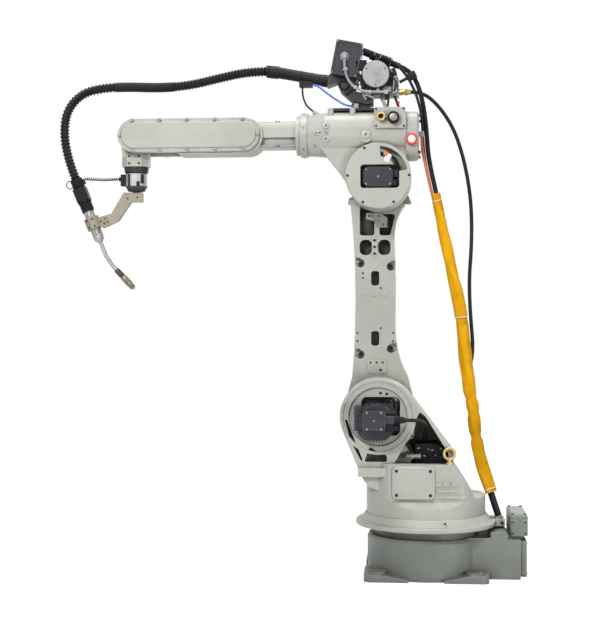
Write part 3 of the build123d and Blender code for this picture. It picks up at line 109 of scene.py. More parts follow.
def rampNode(tree, factor, low, high):
    node = tree.nodes.new("ShaderNodeMapRange")
    node.interpolation_type = "SMOOTHSTEP"
    node.inputs["From Min"].default_value = low
    node.inputs["From Max"].default_value = high
    tree.links.new(factor, node.inputs["Value"])
    return node.outputs["Result"]


def mixColours(tree, factor, under, over, share=None):
    # share weakens the mask that the colours are mixed by
    node = tree.nodes.new("ShaderNodeMix")
    node.data_type = "RGBA"
    feed(tree, node.inputs["Factor"], factor if share is None else times(tree, factor, share))
    feed(tree, node.inputs["A"], under)
    feed(tree, node.inputs["B"], over)
    return node.outputs["Result"]


def objectCoordinates(tree):
    return tree.nodes.new("ShaderNodeTexCoord").outputs["Object"]


def leavePatches(group, entry, leave, mask, low, high):
    patches = noiseNode(group, entry.outputs["Break-up"], 4.0, 0.6, objectCoordinates(group))
    link(group, times(group, mask, rampNode(group, patches, low, high), True), leave.inputs["Mask"])
    return group


def buildEdgeGroup():
    group, entry, leave = makeGroup(
        "worn edges",
        [("Radius", "NodeSocketFloat", 0.002), ("Break-up", "NodeSocketFloat", 120.0)],
        [("Mask", "NodeSocketFloat")],
    )
    # a mask of sharp edges; the finishes lighten them by it, which is wear as well as a painted highlight
    bevel = group.nodes.new("ShaderNodeBevel")
    bevel.samples = 4
    link(group, entry.outputs["Radius"], bevel.inputs["Radius"])
    geometry = group.nodes.new("ShaderNodeNewGeometry")
    dot = group.nodes.new("ShaderNodeVectorMath")
    dot.operation = "DOT_PRODUCT"
    link(group, bevel.outputs["Normal"], dot.inputs[0])
    link(group, geometry.outputs["Normal"], dot.inputs[1])
    sharp = rampNode(group, mathNode(group, "SUBTRACT", 1.0, dot.outputs["Value"]), 0.02, 0.22)
    return leavePatches(group, entry, leave, sharp, 0.42, 0.62)


def buildHollowGroup():
    group, entry, leave = makeGroup(
        "dust in hollows",
        [("Distance", "NodeSocketFloat", 0.03), ("Break-up", "NodeSocketFloat", 30.0)],
        [("Mask", "NodeSocketFloat")],
    )
    # ambient occlusion finds the hollows; the finishes darken them by this mask, which is painted shade as well as
    # dust
    hollow = group.nodes.new("ShaderNodeAmbientOcclusion")
    hollow.samples = 4
    link(group, entry.outputs["Distance"], hollow.inputs["Distance"])
    deep = rampNode(group, mathNode(group, "SUBTRACT", 1.0, hollow.outputs["AO"]), 0.16, 0.76)
    return leavePatches(group, entry, leave, deep, 0.25, 0.7)


def buildGrainGroup():
    group, entry, leave = makeGroup(
        "cast and sprayed grain",
        [("Coarse", "NodeSocketFloat", 45.0), ("Fine", "NodeSocketFloat", 420.0)],
        [("Height", "NodeSocketFloat"), ("Blotch", "NodeSocketFloat")],
    )
    place = objectCoordinates(group)
    coarse = noiseNode(group, entry.outputs["Coarse"], 2.0, 0.5, place)
    fine = noiseNode(group, entry.outputs["Fine"], 2.0, 0.6, place)
    height = plus(group, times(group, coarse, 0.7), times(group, fine, 0.3))
    link(group, height, leave.inputs["Height"])
    link(group, rampNode(group, noiseNode(group, 7.0, 4.0, 0.6, place), 0.35, 0.7), leave.inputs["Blotch"])
    return group


wornAndHighlightedEdgeGroup = buildEdgeGroup()
hollowDustAndShadeGroup = buildHollowGroup()
grainGroup = buildGrainGroup()
print("shader groups built")


def placeGroup(tree, group, **values):
    node = tree.nodes.new("ShaderNodeGroup")
    node.node_tree = group
    for label, value in values.items():
        node.inputs[label.replace("_", "-")].default_value = value
    return node


def startMaterial(name):
    material = bpy.data.materials.new(name)
    material.use_nodes = True
    tree = material.node_tree
    return material, tree, tree.nodes["Principled BSDF"]


def dressShader(tree, shader, tone, rough, height, strength, distance):
    link(tree, tone, shader.inputs["Base Color"])
    link(tree, rough, shader.inputs["Roughness"])
    bump = tree.nodes.new("ShaderNodeBump")
    bump.inputs["Strength"].default_value = strength
    bump.inputs["Distance"].default_value = distance
    link(tree, height, bump.inputs["Height"])
    link(tree, bump.outputs["Normal"], shader.inputs["Normal"])


# Enamel over castings: drifting colour, dust and painted shade in the hollows and wide pockets, rubbed edges
# lightened with a painted highlight, sprayed grain
# dirt and pocket dirt: how strongly dust and painted shade darken the hollows and the wide pockets
enamel = {"edge": 0.0042, "hollow": 0.028, "pocket": 0.13, "pocketPatches": 5.0, "pocketDirtAndShade": 0.85, "dirtAndShade": 0.9}


def paintedCasting(name, colour, shade, dustAndShade, bareAndHighlight, wearAndHighlight=0.8, gloss=0.42, grain=0.25, coarse=45.0, shine=0.45):
    material, tree, shader = startMaterial(name)
    edges = placeGroup(tree, wornAndHighlightedEdgeGroup, Radius=enamel["edge"]).outputs["Mask"]
    hollows = placeGroup(tree, hollowDustAndShadeGroup, Distance=enamel["hollow"]).outputs["Mask"]
    wide = placeGroup(tree, hollowDustAndShadeGroup, Distance=enamel["pocket"], Break_up=enamel["pocketPatches"])
    cast = placeGroup(tree, grainGroup, Coarse=coarse)
    tone = mixColours(tree, cast.outputs["Blotch"], colour, shade)
    # hollows and wide pockets darkened towards the dust colour: dust and painted shade
    tone = mixColours(tree, wide.outputs["Mask"], tone, dustAndShade, enamel["pocketDirtAndShade"])
    tone = mixColours(tree, hollows, tone, dustAndShade, enamel["dirtAndShade"])
    # sharp edges lightened towards the bare colour: wear and a painted highlight
    tone = mixColours(tree, edges, tone, bareAndHighlight, wearAndHighlight)
    rough = plus(tree, gloss, times(tree, cast.outputs["Blotch"], 0.12))
    rough = plus(tree, rough, times(tree, hollows, 0.25), True)
    dressShader(tree, shader, tone, rough, cast.outputs["Height"], grain, 0.0006)
    shader.inputs["Specular IOR Level"].default_value = shine
    return material


# Bare or plated metal: fine scratches along the piece, stains, painted shade darkening the hollows
def workedMetal(name, colour, stainAndShade, rough, metallic, scratch=0.12, stretch=(1.0, 1.0, 14.0)):
    material, tree, shader = startMaterial(name)
    mapping = tree.nodes.new("ShaderNodeMapping")
    mapping.inputs["Scale"].default_value = stretch
    link(tree, objectCoordinates(tree), mapping.inputs["Vector"])
    lines = noiseNode(tree, 160.0, 3.0, 0.6, mapping.outputs["Vector"])
    hollows = placeGroup(tree, hollowDustAndShadeGroup, Distance=0.012).outputs["Mask"]
    stains = rampNode(tree, noiseNode(tree, 26.0, 4.0, 0.65, objectCoordinates(tree)), 0.45, 0.75)
    tone = mixColours(tree, stains, colour, stainAndShade, 0.5)
    # hollows darkened towards the stain colour: painted shade
    tone = mixColours(tree, hollows, tone, stainAndShade, 0.6)
    dressShader(tree, shader, tone, plus(tree, rough, times(tree, lines, 0.22), True), lines, scratch, 0.0003)
    shader.inputs["Metallic"].default_value = metallic
    return material


# Moulded plastic or rubber: fine grain, pale blotches, scuffed edges
def mouldedBlack(name, colour, scuff, rough, fine):
    material, tree, shader = startMaterial(name)
    edges = placeGroup(tree, wornAndHighlightedEdgeGroup, Radius=0.0012).outputs["Mask"]
    moulded = placeGroup(tree, grainGroup, Coarse=140.0, Fine=fine)
    tone = mixColours(tree, moulded.outputs["Blotch"], colour, scuff, 0.5)
    tone = mixColours(tree, edges, tone, scuff, 0.3)
    rough = plus(tree, rough, times(tree, moulded.outputs["Height"], 0.18), True)
    dressShader(tree, shader, tone, rough, moulded.outputs["Height"], 0.2, 0.0003)
    shader.inputs["Specular IOR Level"].default_value = 0.17
    return material


# Coated cloth sleeve: fine weave on the tube's own map, stains, patches of deeper colour, and painted shade
# darkening its folds and hollows
def sleeveCloth(name, colour, deep, stainAndShade):
    material, tree, shader = startMaterial(name)
    uv = tree.nodes.new("ShaderNodeUVMap")
    uv.uv_map = "along"
    threads = []
    for direction in ("X", "Y"):
        wave = tree.nodes.new("ShaderNodeTexWave")
        wave.bands_direction = direction
        wave.inputs["Scale"].default_value = 300.0
        wave.inputs["Distortion"].default_value = 0.6
        link(tree, uv.outputs["UV"], wave.inputs["Vector"])
        threads.append(wave.outputs["Fac"])
    place = objectCoordinates(tree)
    patch = rampNode(tree, noiseNode(tree, 9.0, 4.0, 0.6, place), 0.35, 0.7)
    stains = rampNode(tree, noiseNode(tree, 22.0, 5.0, 0.7, place), 0.56, 0.74)
    hollows = placeGroup(tree, hollowDustAndShadeGroup, Distance=0.02).outputs["Mask"]
    tone = mixColours(tree, patch, colour, deep)
    tone = mixColours(tree, stains, tone, stainAndShade, 0.55)
    # folds and hollows darkened towards the stain colour: painted shade
    tone = mixColours(tree, hollows, tone, stainAndShade, 0.5)
    height = plus(tree, times(tree, plus(tree, *threads), 0.12), noiseNode(tree, 60.0, 3.0, 0.5, place))
    dressShader(tree, shader, tone, plus(tree, 0.62, times(tree, patch, 0.14)), height, 0.35, 0.0012)
    shader.inputs["Specular IOR Level"].default_value = 0.18
    return material


# Coloured hose or lens: smooth, with a faint drift of colour
def smoothHose(name, colour, deep, rough, transmission=0.0):
    material, tree, shader = startMaterial(name)
    smooth = placeGroup(tree, grainGroup, Coarse=80.0, Fine=500.0)
    tone = mixColours(tree, smooth.outputs["Blotch"], colour, deep)
    rough = plus(tree, rough, times(tree, smooth.outputs["Height"], 0.15))
    dressShader(tree, shader, tone, rough, smooth.outputs["Height"], 0.08, 0.0003)
    shader.inputs["Transmission Weight"].default_value = transmission
    return material


# Each finish: what makes it, its name, its colours and its other values; first the slots of the record
finishes = {
    "arm_paint": paintedCasting(
        "armPaint", (0.465, 0.46, 0.42), (0.42, 0.413, 0.373), (0.15, 0.137, 0.105), (0.78, 0.77, 0.73)),
    "base_paint": paintedCasting(
        "basePaint", (0.195, 0.215, 0.198), (0.165, 0.183, 0.166), (0.085, 0.065, 0.042), (0.55, 0.54, 0.49),
        wearAndHighlight=0.7),
    "motor_black": paintedCasting(
        "motorPaint", (0.048, 0.050, 0.062), (0.034, 0.036, 0.045), (0.012, 0.012, 0.014), (0.24, 0.24, 0.25),
        wearAndHighlight=0.4, gloss=0.36, grain=0.2, coarse=120.0, shine=0.25),
    "dark_steel": workedMetal("darkSteel", (0.026, 0.026, 0.03), (0.013, 0.012, 0.012), 0.45, 0.3),
    "black_plastic": mouldedBlack("blackPlastic", (0.008, 0.008, 0.010), (0.032, 0.033, 0.037), 0.44, 600.0),
    "black_rubber": mouldedBlack("blackRubber", (0.008, 0.009, 0.011), (0.022, 0.024, 0.028), 0.32, 300.0),
    "yellow_sleeve": sleeveCloth("sleeveCloth", (0.80, 0.40, 0.0), (0.62, 0.29, 0.0), (0.24, 0.11, 0.0)),
    "brass": workedMetal("turnedBrass", (0.60, 0.42, 0.15), (0.24, 0.15, 0.05), 0.25, 1.0),
    "lamp_white": smoothHose("lampLens", (0.9, 0.88, 0.83), (0.86, 0.84, 0.78), 0.18),
    "sensor_grey": workedMetal("paleAlloy", (0.32, 0.312, 0.31), (0.13, 0.12, 0.115), 0.42, 0.5),
    "bracket_gold": workedMetal("passivatedSteel", (0.30, 0.262, 0.20), (0.15, 0.12, 0.08), 0.42, 0.4),
    "clear_tube": smoothHose("milkyTube", (0.46, 0.47, 0.475), (0.30, 0.31, 0.32), 0.2, 0.2),
    "blue_hose": smoothHose("blueHose", (0.01, 0.17, 0.75), (0.008, 0.11, 0.6), 0.25),
    "orange_hose": smoothHose("orangeHose", (0.72, 0.16, 0.045), (0.6, 0.12, 0.03), 0.32),
    "torch_metal": workedMetal(
        "torchMetal", (0.40, 0.39, 0.37), (0.20, 0.19, 0.17), 0.26, 0.7, 0.01, (1.0, 1.0, 1.0)),
}
black = workedMetal("fastenerBlack", (0.018, 0.017, 0.018), (0.01, 0.009, 0.008), 0.45, 0.4)
zinc = workedMetal("fastenerZinc", (0.30, 0.29, 0.26), (0.13, 0.12, 0.10), 0.32, 0.8)
copper = workedMetal("copperTip", (0.24, 0.20, 0.16), (0.07, 0.05, 0.04), 0.34, 0.8)
sensorPale = workedMetal("sensorPale", (0.50, 0.49, 0.485), (0.30, 0.29, 0.28), 0.42, 0.35)
plated = workedMetal("yellowPlated", (0.50, 0.38, 0.15), (0.20, 0.14, 0.05), 0.35, 0.7)
handleDark = workedMetal("handleDark", (0.075, 0.07, 0.066), (0.03, 0.027, 0.024), 0.4, 0.8)
white = smoothHose("tieWhite", (0.82, 0.82, 0.78), (0.72, 0.71, 0.66), 0.35)
lampRed = smoothHose("lampRed", (0.80, 0.045, 0.01), (0.65, 0.03, 0.008), 0.35)
# dark paint for the lower arm's pocket floors: painted shade, with some dirt
pocketPaint = paintedCasting(
    "pocketPaint", (0.105, 0.098, 0.088), (0.075, 0.068, 0.06), (0.03, 0.026, 0.02), (0.2, 0.18, 0.15), wearAndHighlight=0.2)
armPaint, plastic = finishes["arm_paint"], finishes["black_plastic"]


def paintNode(name, finish):
    nodes[name].data.materials.clear()
    nodes[name].data.materials.append(finish)


for row in frame["record"]["subparts"]:
    paintNode(row["node"], finishes[row["material_slot"]])
paintNode("lifting_eye", plated)
paintNode("collision_sensor", sensorPale)
print("finishes on the CAD nodes:", len(finishes))


# Camera, light, floor
studio = {
    "camera": (0.0406, 4.199, 0.824), "yawDegrees": 185.0, "lens": 74.17, "sensor": 36.0, "clipEnd": 60.0,
    "skyTint": (0.97, 0.985, 1.0, 1), "skyStrength": 0.19,
    "lamps": (
        # name, place, aim, size, watts
        ("keyLight", (2.0, 4.3, 3.3), (0.1, 0, 0.4), 1.0, 150.0),
        ("fillLight", (-2.2, 2.8, 0.3), (0.0, 0, 0.2), 1.0, 50.0),
        ("topLight", (0.2, 0.5, 5.2), (0.1, 0, 0.9), 1.0, 120.0),
        ("rearLight", (-0.6, -3.2, 2.4), (0.3, 0, 0.9), 2.4, 26.0),
    ),
    "floorSize": 14.0, "floorPlace": (0.3, 0, -0.0004), "floorColour": (0.62, 0.62, 0.62, 1),
    "floorGlow": 1.25, "floorGlowShare": 0.86,
}
bpy.ops.object.camera_add(location=studio["camera"])
camera = bpy.context.object
camera.data.lens = studio["lens"]
camera.data.sensor_width = studio["sensor"]
camera.data.clip_end = studio["clipEnd"]
camera.rotation_euler = (math.radians(90), 0, math.radians(studio["yawDegrees"]))
bpy.context.scene.camera = camera
bpy.context.scene.view_settings.view_transform = "Standard"


def paleToTheEye(tree):
    rays = tree.nodes.new("ShaderNodeLightPath")
    seen = mathNode(tree, "MAXIMUM", rays.outputs["Is Camera Ray"], rays.outputs["Is Glossy Ray"])
    return mathNode(tree, "MAXIMUM", seen, rays.outputs["Is Transmission Ray"], True)


def mixShaders(tree, factor, first, second, target):
    mix = tree.nodes.new("ShaderNodeMixShader")
    link(tree, factor, mix.inputs["Fac"])
    link(tree, first.outputs[0], mix.inputs[1])
    link(tree, second.outputs[0], mix.inputs[2])
    link(tree, mix.outputs[0], target)


world = bpy.data.worlds.new("studioWorld")
bpy.context.scene.world = world
world.use_nodes = True
sky = world.node_tree
sky.nodes.clear()
lit = sky.nodes.new("ShaderNodeBackground")
lit.inputs["Color"].default_value = studio["skyTint"]
lit.inputs["Strength"].default_value = studio["skyStrength"]
seenSky = sky.nodes.new("ShaderNodeBackground")
seenSky.inputs["Color"].default_value = (1, 1, 1, 1)
mixShaders(sky, paleToTheEye(sky), lit, seenSky, sky.nodes.new("ShaderNodeOutputWorld").inputs["Surface"])

for name, place, aim, size, watts in studio["lamps"]:
    bpy.ops.object.light_add(type="AREA", location=place)
    lamp = bpy.context.object
    lamp.name = name
    lamp.data.shape = "DISK"
    lamp.data.size = size
    lamp.data.energy = watts
    lamp.rotation_euler = (Vector(aim) - Vector(place)).to_track_quat("-Z", "Y").to_euler()

bpy.ops.mesh.primitive_plane_add(size=studio["floorSize"], location=studio["floorPlace"])
floor = bpy.context.object
floor.name = "floor"
floorPaint, floorTree, floorShader = startMaterial("floorPaint")
floorShader.inputs["Base Color"].default_value = studio["floorColour"]
floorShader.inputs["Roughness"].default_value = 0.9
floorShader.inputs["Specular IOR Level"].default_value = 0.1
glow = floorTree.nodes.new("ShaderNodeEmission")
glow.inputs["Strength"].default_value = studio["floorGlow"]
glowing = times(floorTree, paleToTheEye(floorTree), studio["floorGlowShare"])
mixShaders(floorTree, glowing, floorShader, glow, floorTree.nodes["Material Output"].inputs["Surface"])
floor.data.materials.append(floorPaint)
print("camera, light and floor set")


# Tools for pieces
def startPiece():
    if bpy.context.object and bpy.context.mode != "OBJECT":
        bpy.ops.object.mode_set(mode="OBJECT")
    bpy.ops.object.select_all(action="DESELECT")


def onlySelect(obj):
    startPiece()
    obj.select_set(True)
    bpy.context.view_layer.objects.active = obj


def settle(obj, name, finish, body=None):
    # the piece keeps its place in its mesh; a finish given by its name is the piece's slot too
    onlySelect(obj)
    bpy.ops.object.transform_apply(location=True, rotation=True, scale=True)
    obj.name = name
    obj.data.name = name
    named = isinstance(finish, str)
    obj.data.materials.clear()
    obj.data.materials.append(finishes[finish] if named else finish)
    if body:
        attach(obj, body)
    return obj


def roundEdges(obj, width):
    onlySelect(obj)
    bevel = obj.modifiers.new("roundedEdges", "BEVEL")
    bevel.width = width
    bevel.segments = 2
    bevel.limit_method = "ANGLE"
    bevel.angle_limit = math.radians(35)
    bpy.ops.object.modifier_apply(modifier=bevel.name)
    bpy.ops.object.shade_smooth_by_angle(angle=math.radians(40))


def copyTo(source, place, direction, turn=0.0):
    # a copy with its own mesh, its +Z along direction
    twin = source.copy()
    twin.data = source.data.copy()
    bpy.context.scene.collection.objects.link(twin)
    facing = Vector(direction).to_track_quat("Z", "Y").to_matrix().to_4x4()
    twin.matrix_world = Matrix.Translation(Vector(place)) @ facing @ Matrix.Rotation(turn, 4, "Z")
    return twin


def joinAll(shapes):
    startPiece()
    for shape in shapes:
        shape.select_set(True)
    bpy.context.view_layer.objects.active = shapes[0]
    if len(shapes) > 1:
        bpy.ops.object.join()
    return bpy.context.object


def dropModel(obj):
    bpy.data.objects.remove(obj)


# Cords: one NURBS spline through each route's points, given in millimetres
def tracePoints(route):
    data = bpy.data.curves.new("route", "CURVE")
    data.dimensions = "3D"
    data.resolution_u = 24
    spline = data.splines.new("NURBS")
    spline.points.add(len(route) - 1)
    for point, place in zip(spline.points, route):
        point.co = (*mm(*place), 1.0)
    spline.order_u = 3
    spline.use_endpoint_u = True
    line = bpy.data.objects.new("route", data)
    bpy.context.scene.collection.objects.link(line)
    mesh = bpy.data.meshes.new_from_object(line.evaluated_get(bpy.context.evaluated_depsgraph_get()))
    points = [v.co.copy() for v in mesh.vertices]
    bpy.data.meshes.remove(mesh)
    dropModel(line)
    return points


def lengthOf(points):
    return sum((b - a).length for a, b in zip(points, points[1:]))


def evenPoints(points, step):
    # points a step apart along the line
    total = lengthOf(points)
    count = max(2, round(total / step))
    result, walked, index = [], 0.0, 0
    for distance in (total * i / count for i in range(count + 1)):
        while index < len(points) - 2 and walked + (points[index + 1] - points[index]).length < distance:
            walked += (points[index + 1] - points[index]).length
            index += 1
        run = points[index + 1] - points[index]
        part = 0.0 if run.length == 0 else min(1.0, (distance - walked) / run.length)
        result.append(points[index] + run * part)
    return result


def framesAlong(points, across=Vector((0, 1, 0))):
    # a ring frame at each point, carried along without twist
    frames = []
    for i, point in enumerate(points):
        ahead = (points[min(i + 1, len(points) - 1)] - points[max(i - 1, 0)]).normalized()
        across = (across - ahead * across.dot(ahead)).normalized()
        frames.append((point, ahead, across, ahead.cross(across)))
    return frames


def tubeMesh(name, points, radiusAt, sides=20):
    # closed tube: radiusAt(distance along, angle) gives each point's distance from the line
    vertices, faces, along = [], [], []
    walked = 0.0
    frames = framesAlong(points)
    for i, (point, ahead, across, upward) in enumerate(frames):
        if i:
            walked += (point - frames[i - 1][0]).length
        for j in range(sides):
            angle = 2 * math.pi * j / sides
            vertices.append(point + (across * math.cos(angle) + upward * math.sin(angle)) * radiusAt(walked, angle))
        along.append(walked)
    for i in range(len(frames) - 1):
        for j in range(sides):
            k = (j + 1) % sides
            faces.append((i * sides + j, i * sides + k, (i + 1) * sides + k, (i + 1) * sides + j))
    faces.append(tuple(reversed(range(sides))))
    last = (len(frames) - 1) * sides
    faces.append(tuple(range(last, last + sides)))
    mesh = bpy.data.meshes.new(name)
    mesh.from_pydata(vertices, [], faces)
    layer = mesh.uv_layers.new(name="along")
    for polygon in mesh.polygons:
        closing = polygon.index < len(faces) - 2 and polygon.index % sides == sides - 1
        for index in polygon.loop_indices:
            vertex = mesh.loops[index].vertex_index
            turn = (vertex % sides) / sides
            layer.data[index].uv = ((1.0 if closing and turn == 0 else turn) * 0.1, along[vertex // sides])
    obj = bpy.data.objects.new(name, mesh)
    bpy.context.scene.collection.objects.link(obj)
    onlySelect(obj)
    bpy.ops.object.mode_set(mode="EDIT")
    bpy.ops.mesh.select_all(action="SELECT")
    bpy.ops.mesh.normals_make_consistent(inside=False)
    bpy.ops.object.mode_set(mode="OBJECT")
    bpy.ops.object.shade_smooth_by_angle(angle=math.radians(50))
    return obj


def layTube(tube, node, slotName, hold):
    # hold is one body, which carries the tube; two bodies and the two ends of a blend between them leave the tube
    # fixed where it lies
    tube.data.materials.append(finishes[slotName])
    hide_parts(node)
    if isinstance(hold, str):
        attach(tube, hold)
    else:
        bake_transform(tube)


def halfway(route, index):
    return tuple((a + b) / 2 for a, b in zip(route[index], route[index + 1]))


# Torch conduit, in three pieces that meet at the roll and bend axes
torchTop = Vector((1148, 0, 1271))
torchBend = Vector((1065, 0, 1064))
torchWay = (torchBend - torchTop).normalized()
conduit = {
    "diameter": 0.032,
    "stepsPerRib": 8,
    # pitch, height and narrowness: coarse guard rings near both ends, fine ribs between
    "ribs": {
        "torch_conduit_rear": (0.0105, 0.0032, 1.8),
        "torch_conduit_middle": (0.0062, 0.0009, 0.6),
        "torch_conduit_front": (0.0115, 0.0036, 1.8),
    },
    "route": [
        (515, 0, 1616), (575, 0, 1616), (665, 0, 1598), (770, 0, 1574), (870, 0, 1568), (970, 0, 1573),
        (1050, 0, 1571), (1125, 0, 1556), (1178, 0, 1500), (1189, 0, 1420),
        tuple(torchTop - torchWay * 64), tuple(torchTop),
    ],
}
wholeRoute = conduit["route"]
rearSplit, frontSplit = halfway(wholeRoute, 3), (1014, 0, 1571.9)
conduitParts = (
    ("torch_conduit_rear", wholeRoute[:4] + [rearSplit], "conduit_rear", ("upper_arm", "forearm")),
    ("torch_conduit_middle", [rearSplit] + wholeRoute[4:6] + [frontSplit], "conduit_middle", ("forearm", "wrist")),
    ("torch_conduit_front", [frontSplit] + wholeRoute[6:], "conduit_front", ("wrist", "tool")),
)
for name, route, node, pair in conduitParts:
    points = tracePoints(route)
    length = lengthOf(points)
    pitch, height, narrow = conduit["ribs"][name]
    ribs = round(length / pitch)
    even = evenPoints(points, length / (ribs * conduit["stepsPerRib"]))

    def ribbed(distance, angle, pitch=length / ribs, height=height, narrow=narrow):
        wave = 0.5 - 0.5 * math.cos(2 * math.pi * distance / pitch)
        return conduit["diameter"] / 2 - height * (1 - wave ** narrow)

    layTube(tubeMesh(name, even, ribbed), node, "black_rubber",
            (*pair, mm(*route[0]), mm(*route[-1])))
print("torch conduit laid")

# Yellow cable sleeve, in two pieces, flattened and rumpled, with folds that wind round the bundle
sleeve = {
    "diameter": 0.041,
    "route": [
        (-31, 0, 1214), (-46, 0, 1150), (-58, 0, 1080), (-78, 0, 985), (-104, 0, 885), (-116, 0, 790),
        (-127, 0, 690), (-141, -3, 590), (-153, -12, 490), (-168, -28, 400), (-187, -52, 322), (-210, -40, 250),
    ],
    "narrowTop": 0.80, "fullAt": 0.34, "step": 0.006,
    "rumple": 0.0024, "winding": 0.0014, "foldWidth": 0.012,
    "folds": ((0.42, 0.0020), (0.67, 0.0034), (0.72, 0.0028), (0.80, 0.0042)),
    "ties": {"bundle_upper": (0.026,), "bundle_lower": (0.118, 0.69)},
    "tieRadius": 0.0208, "tieThickness": 0.0014,
}
sleeveSplit = halfway(sleeve["route"], 3)
sleeveParts = (
    ("cable_sleeve_upper", sleeve["route"][:4] + [sleeveSplit], "bundle_upper", ("upper_arm", "lower_arm"), 0.0),
    ("cable_sleeve_lower", [sleeveSplit] + sleeve["route"][4:], "bundle_lower", ("lower_arm", "turntable"), 0.29),
)


def sleeveTaper(s):
    return sleeve["narrowTop"] + (1 - sleeve["narrowTop"]) * min(1.0, s / sleeve["fullAt"])


for name, route, node, pair, before in sleeveParts:
    points = tracePoints(route)
    length = lengthOf(points)
    even = evenPoints(points, sleeve["step"])
    hold = (*pair, mm(*route[0]), mm(*route[-1]))

    def clothRadius(distance, angle, before=before):
        s = before + distance
        rumple = noise.noise(Vector((math.cos(angle) * 1.3, math.sin(angle) * 1.3, s * 16)))
        winding = math.sin(3 * angle + s * 26 + 2.5 * noise.noise(Vector((s * 7, 3.1, 0.7))))
        pinch = sum(depth * math.exp(-((s - place) / sleeve["foldWidth"]) ** 2) for place, depth in sleeve["folds"])
        flattened = sleeve["diameter"] / 2 * sleeveTaper(s) * (0.95 + 0.05 * math.cos(2 * angle + s * 5))
        return flattened + rumple * sleeve["rumple"] + winding * sleeve["winding"] - pinch

    layTube(tubeMesh(name, even, clothRadius, 48), node, "yellow_sleeve",
            hold)
    for number, distance in enumerate(sleeve["ties"][node]):
        k = min(round(distance / length * (len(even) - 1)), len(even) - 2)
        bpy.ops.mesh.primitive_torus_add(
            major_segments=48, minor_segments=8, minor_radius=sleeve["tieThickness"], location=even[k],
            major_radius=sleeve["tieRadius"] * sleeveTaper(before + distance),
            rotation=(even[k + 1] - even[k]).to_track_quat("Z", "Y").to_euler(),
        )
        tie = settle(bpy.context.object, name + "_tie_" + str(number), white)
        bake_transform(tie)
print("cable sleeve laid")

sleeveEnd = Vector(sleeve["route"][0])
sleeveWay = (Vector(sleeve["route"][1]) - sleeveEnd).normalized()
sleeveAcross = Vector((-sleeveWay.z, 0, sleeveWay.x))


def intoSleeve(across, side, before):
    # the last two points of a cable that runs into the top of the sleeve
    place = sleeveEnd + sleeveAcross * across + Vector((0, side, 0))
    return [tuple(place - sleeveWay * before), tuple(place)]


connectorStart, connectorEnd = Vector((199, 0, 1673)), Vector((84, 0, 1626))
connectorWay = (connectorEnd - connectorStart).normalized()
loop = [
    (48, -16, 1545), (10, -16, 1545), (-42, -16, 1500), (-88, -16, 1430), (-116, -16, 1350), (-134, -16, 1270),
    (-145, -16, 1190), (-148, -16, 1110), (-146, -16, 1030), (-140, -16, 950), (-141, -16, 870), (-146, -16, 795),
    (-152, -16, 725), (-146, -14, 665), (-126, -8, 620),
]
loopSplit = halfway(loop, 9)
upperBend = ("upper_arm", "lower_arm", mm(*sleeve["route"][0]), mm(*sleeveSplit))
lowerBend = ("lower_arm", "turntable", mm(*sleeveSplit), mm(*sleeve["route"][-1]))
tapeDepth = {"shoulder_harness": 0.0012}
cables = (
    # piece, CAD node, slot, diameter, the body it rides on or the two bodies and ends of a bend (the tube then stays
    # fixed), route
    ("power_cable_drop", "power_cable", "black_rubber", 0.015, "upper_arm", [
        tuple(connectorEnd), tuple(connectorEnd + connectorWay * 38), (20, 0, 1556), (4, 0, 1480), (-4, 0, 1400),
        *intoSleeve(-3, 3, 110)]),
    ("signal_cable_drop", "signal_cable", "black_rubber", 0.009, "upper_arm", [
        (136.1, 42, 1647.3), (100.9, 42, 1632.9), (60, 41, 1590), (28, 36, 1525), (12, 22, 1458), (9, 8, 1385),
        *intoSleeve(10, -6, 100)]),
    ("elbow_motor_cord", "elbow_cord", "black_rubber", 0.007, "upper_arm", [
        (90, 68, 1284), (89, 68, 1305), (99, 68, 1323), (115, 68, 1334), (133, 68, 1340)]),
    ("gas_hose_drop", "gas_hose", "orange_hose", 0.009, "upper_arm", [
        (13, 30, 1394), (13, 30, 1358), (4, 24, 1318), *intoSleeve(11, 10, 62)]),
    ("loop_cable_top", "loop_cable_upper", "black_rubber", 0.012, upperBend, loop[:10] + [loopSplit]),
    ("loop_cable_end", "loop_cable_lower", "black_rubber", 0.012, lowerBend, [loopSplit] + loop[10:]),
    ("clear_feed_tube", "feeder_tube", "clear_tube", 0.009, "upper_arm", [
        (259, 59.5, 1643), (259, 59.5, 1612), (250, 59.5, 1578), (230, 59.5, 1552), (200, 59.5, 1537),
        (168, 59.5, 1534), (133, 59.5, 1534)]),
    ("blue_air_hose", "blue_hose", "blue_hose", 0.006, "upper_arm", [
        (364, 18, 1567), (350, 18, 1567), (312, 24, 1534), (272, 31, 1506), (248, 36.3, 1494), (230, 36.3, 1494)]),
    ("thin_air_hose", "thin_hose", "black_rubber", 0.006, "upper_arm", [
        (397, 16, 1561), (397, 16, 1535), (389, 17, 1511), (379.6, 18.6, 1495.4), (360, 20, 1480)]),
    ("shoulder_harness", "motor_harness", "black_rubber", 0.013, "turntable", [
        (98, 226, 503), (60, 226, 503), (26, 207, 501), (6, 172, 491), (2, 132, 478), (1.4, 97.2, 466.4),
        (2, 66, 440)]),
)
for name, node, slotName, diameter, hold, route in cables:
    points = tracePoints(route)
    tape = tapeDepth.get(name, 0.0)
    even = evenPoints(points, 0.0011 if tape else max(0.004, diameter * 0.5))

    def tapedRadius(distance, angle, diameter=diameter, tape=tape):
        return diameter / 2 - tape * abs(math.sin(distance * 420 + angle / 2))

    layTube(tubeMesh(name, even, tapedRadius, 16), node, slotName, hold)
print("cables laid")

# Tools for small pieces, sized and placed in millimetres
left, up, back, right = (0, 1, 0), (0, 0, 1), (-1, 0, 0), (1, 0, 0)
origin = (0, 0, 0)


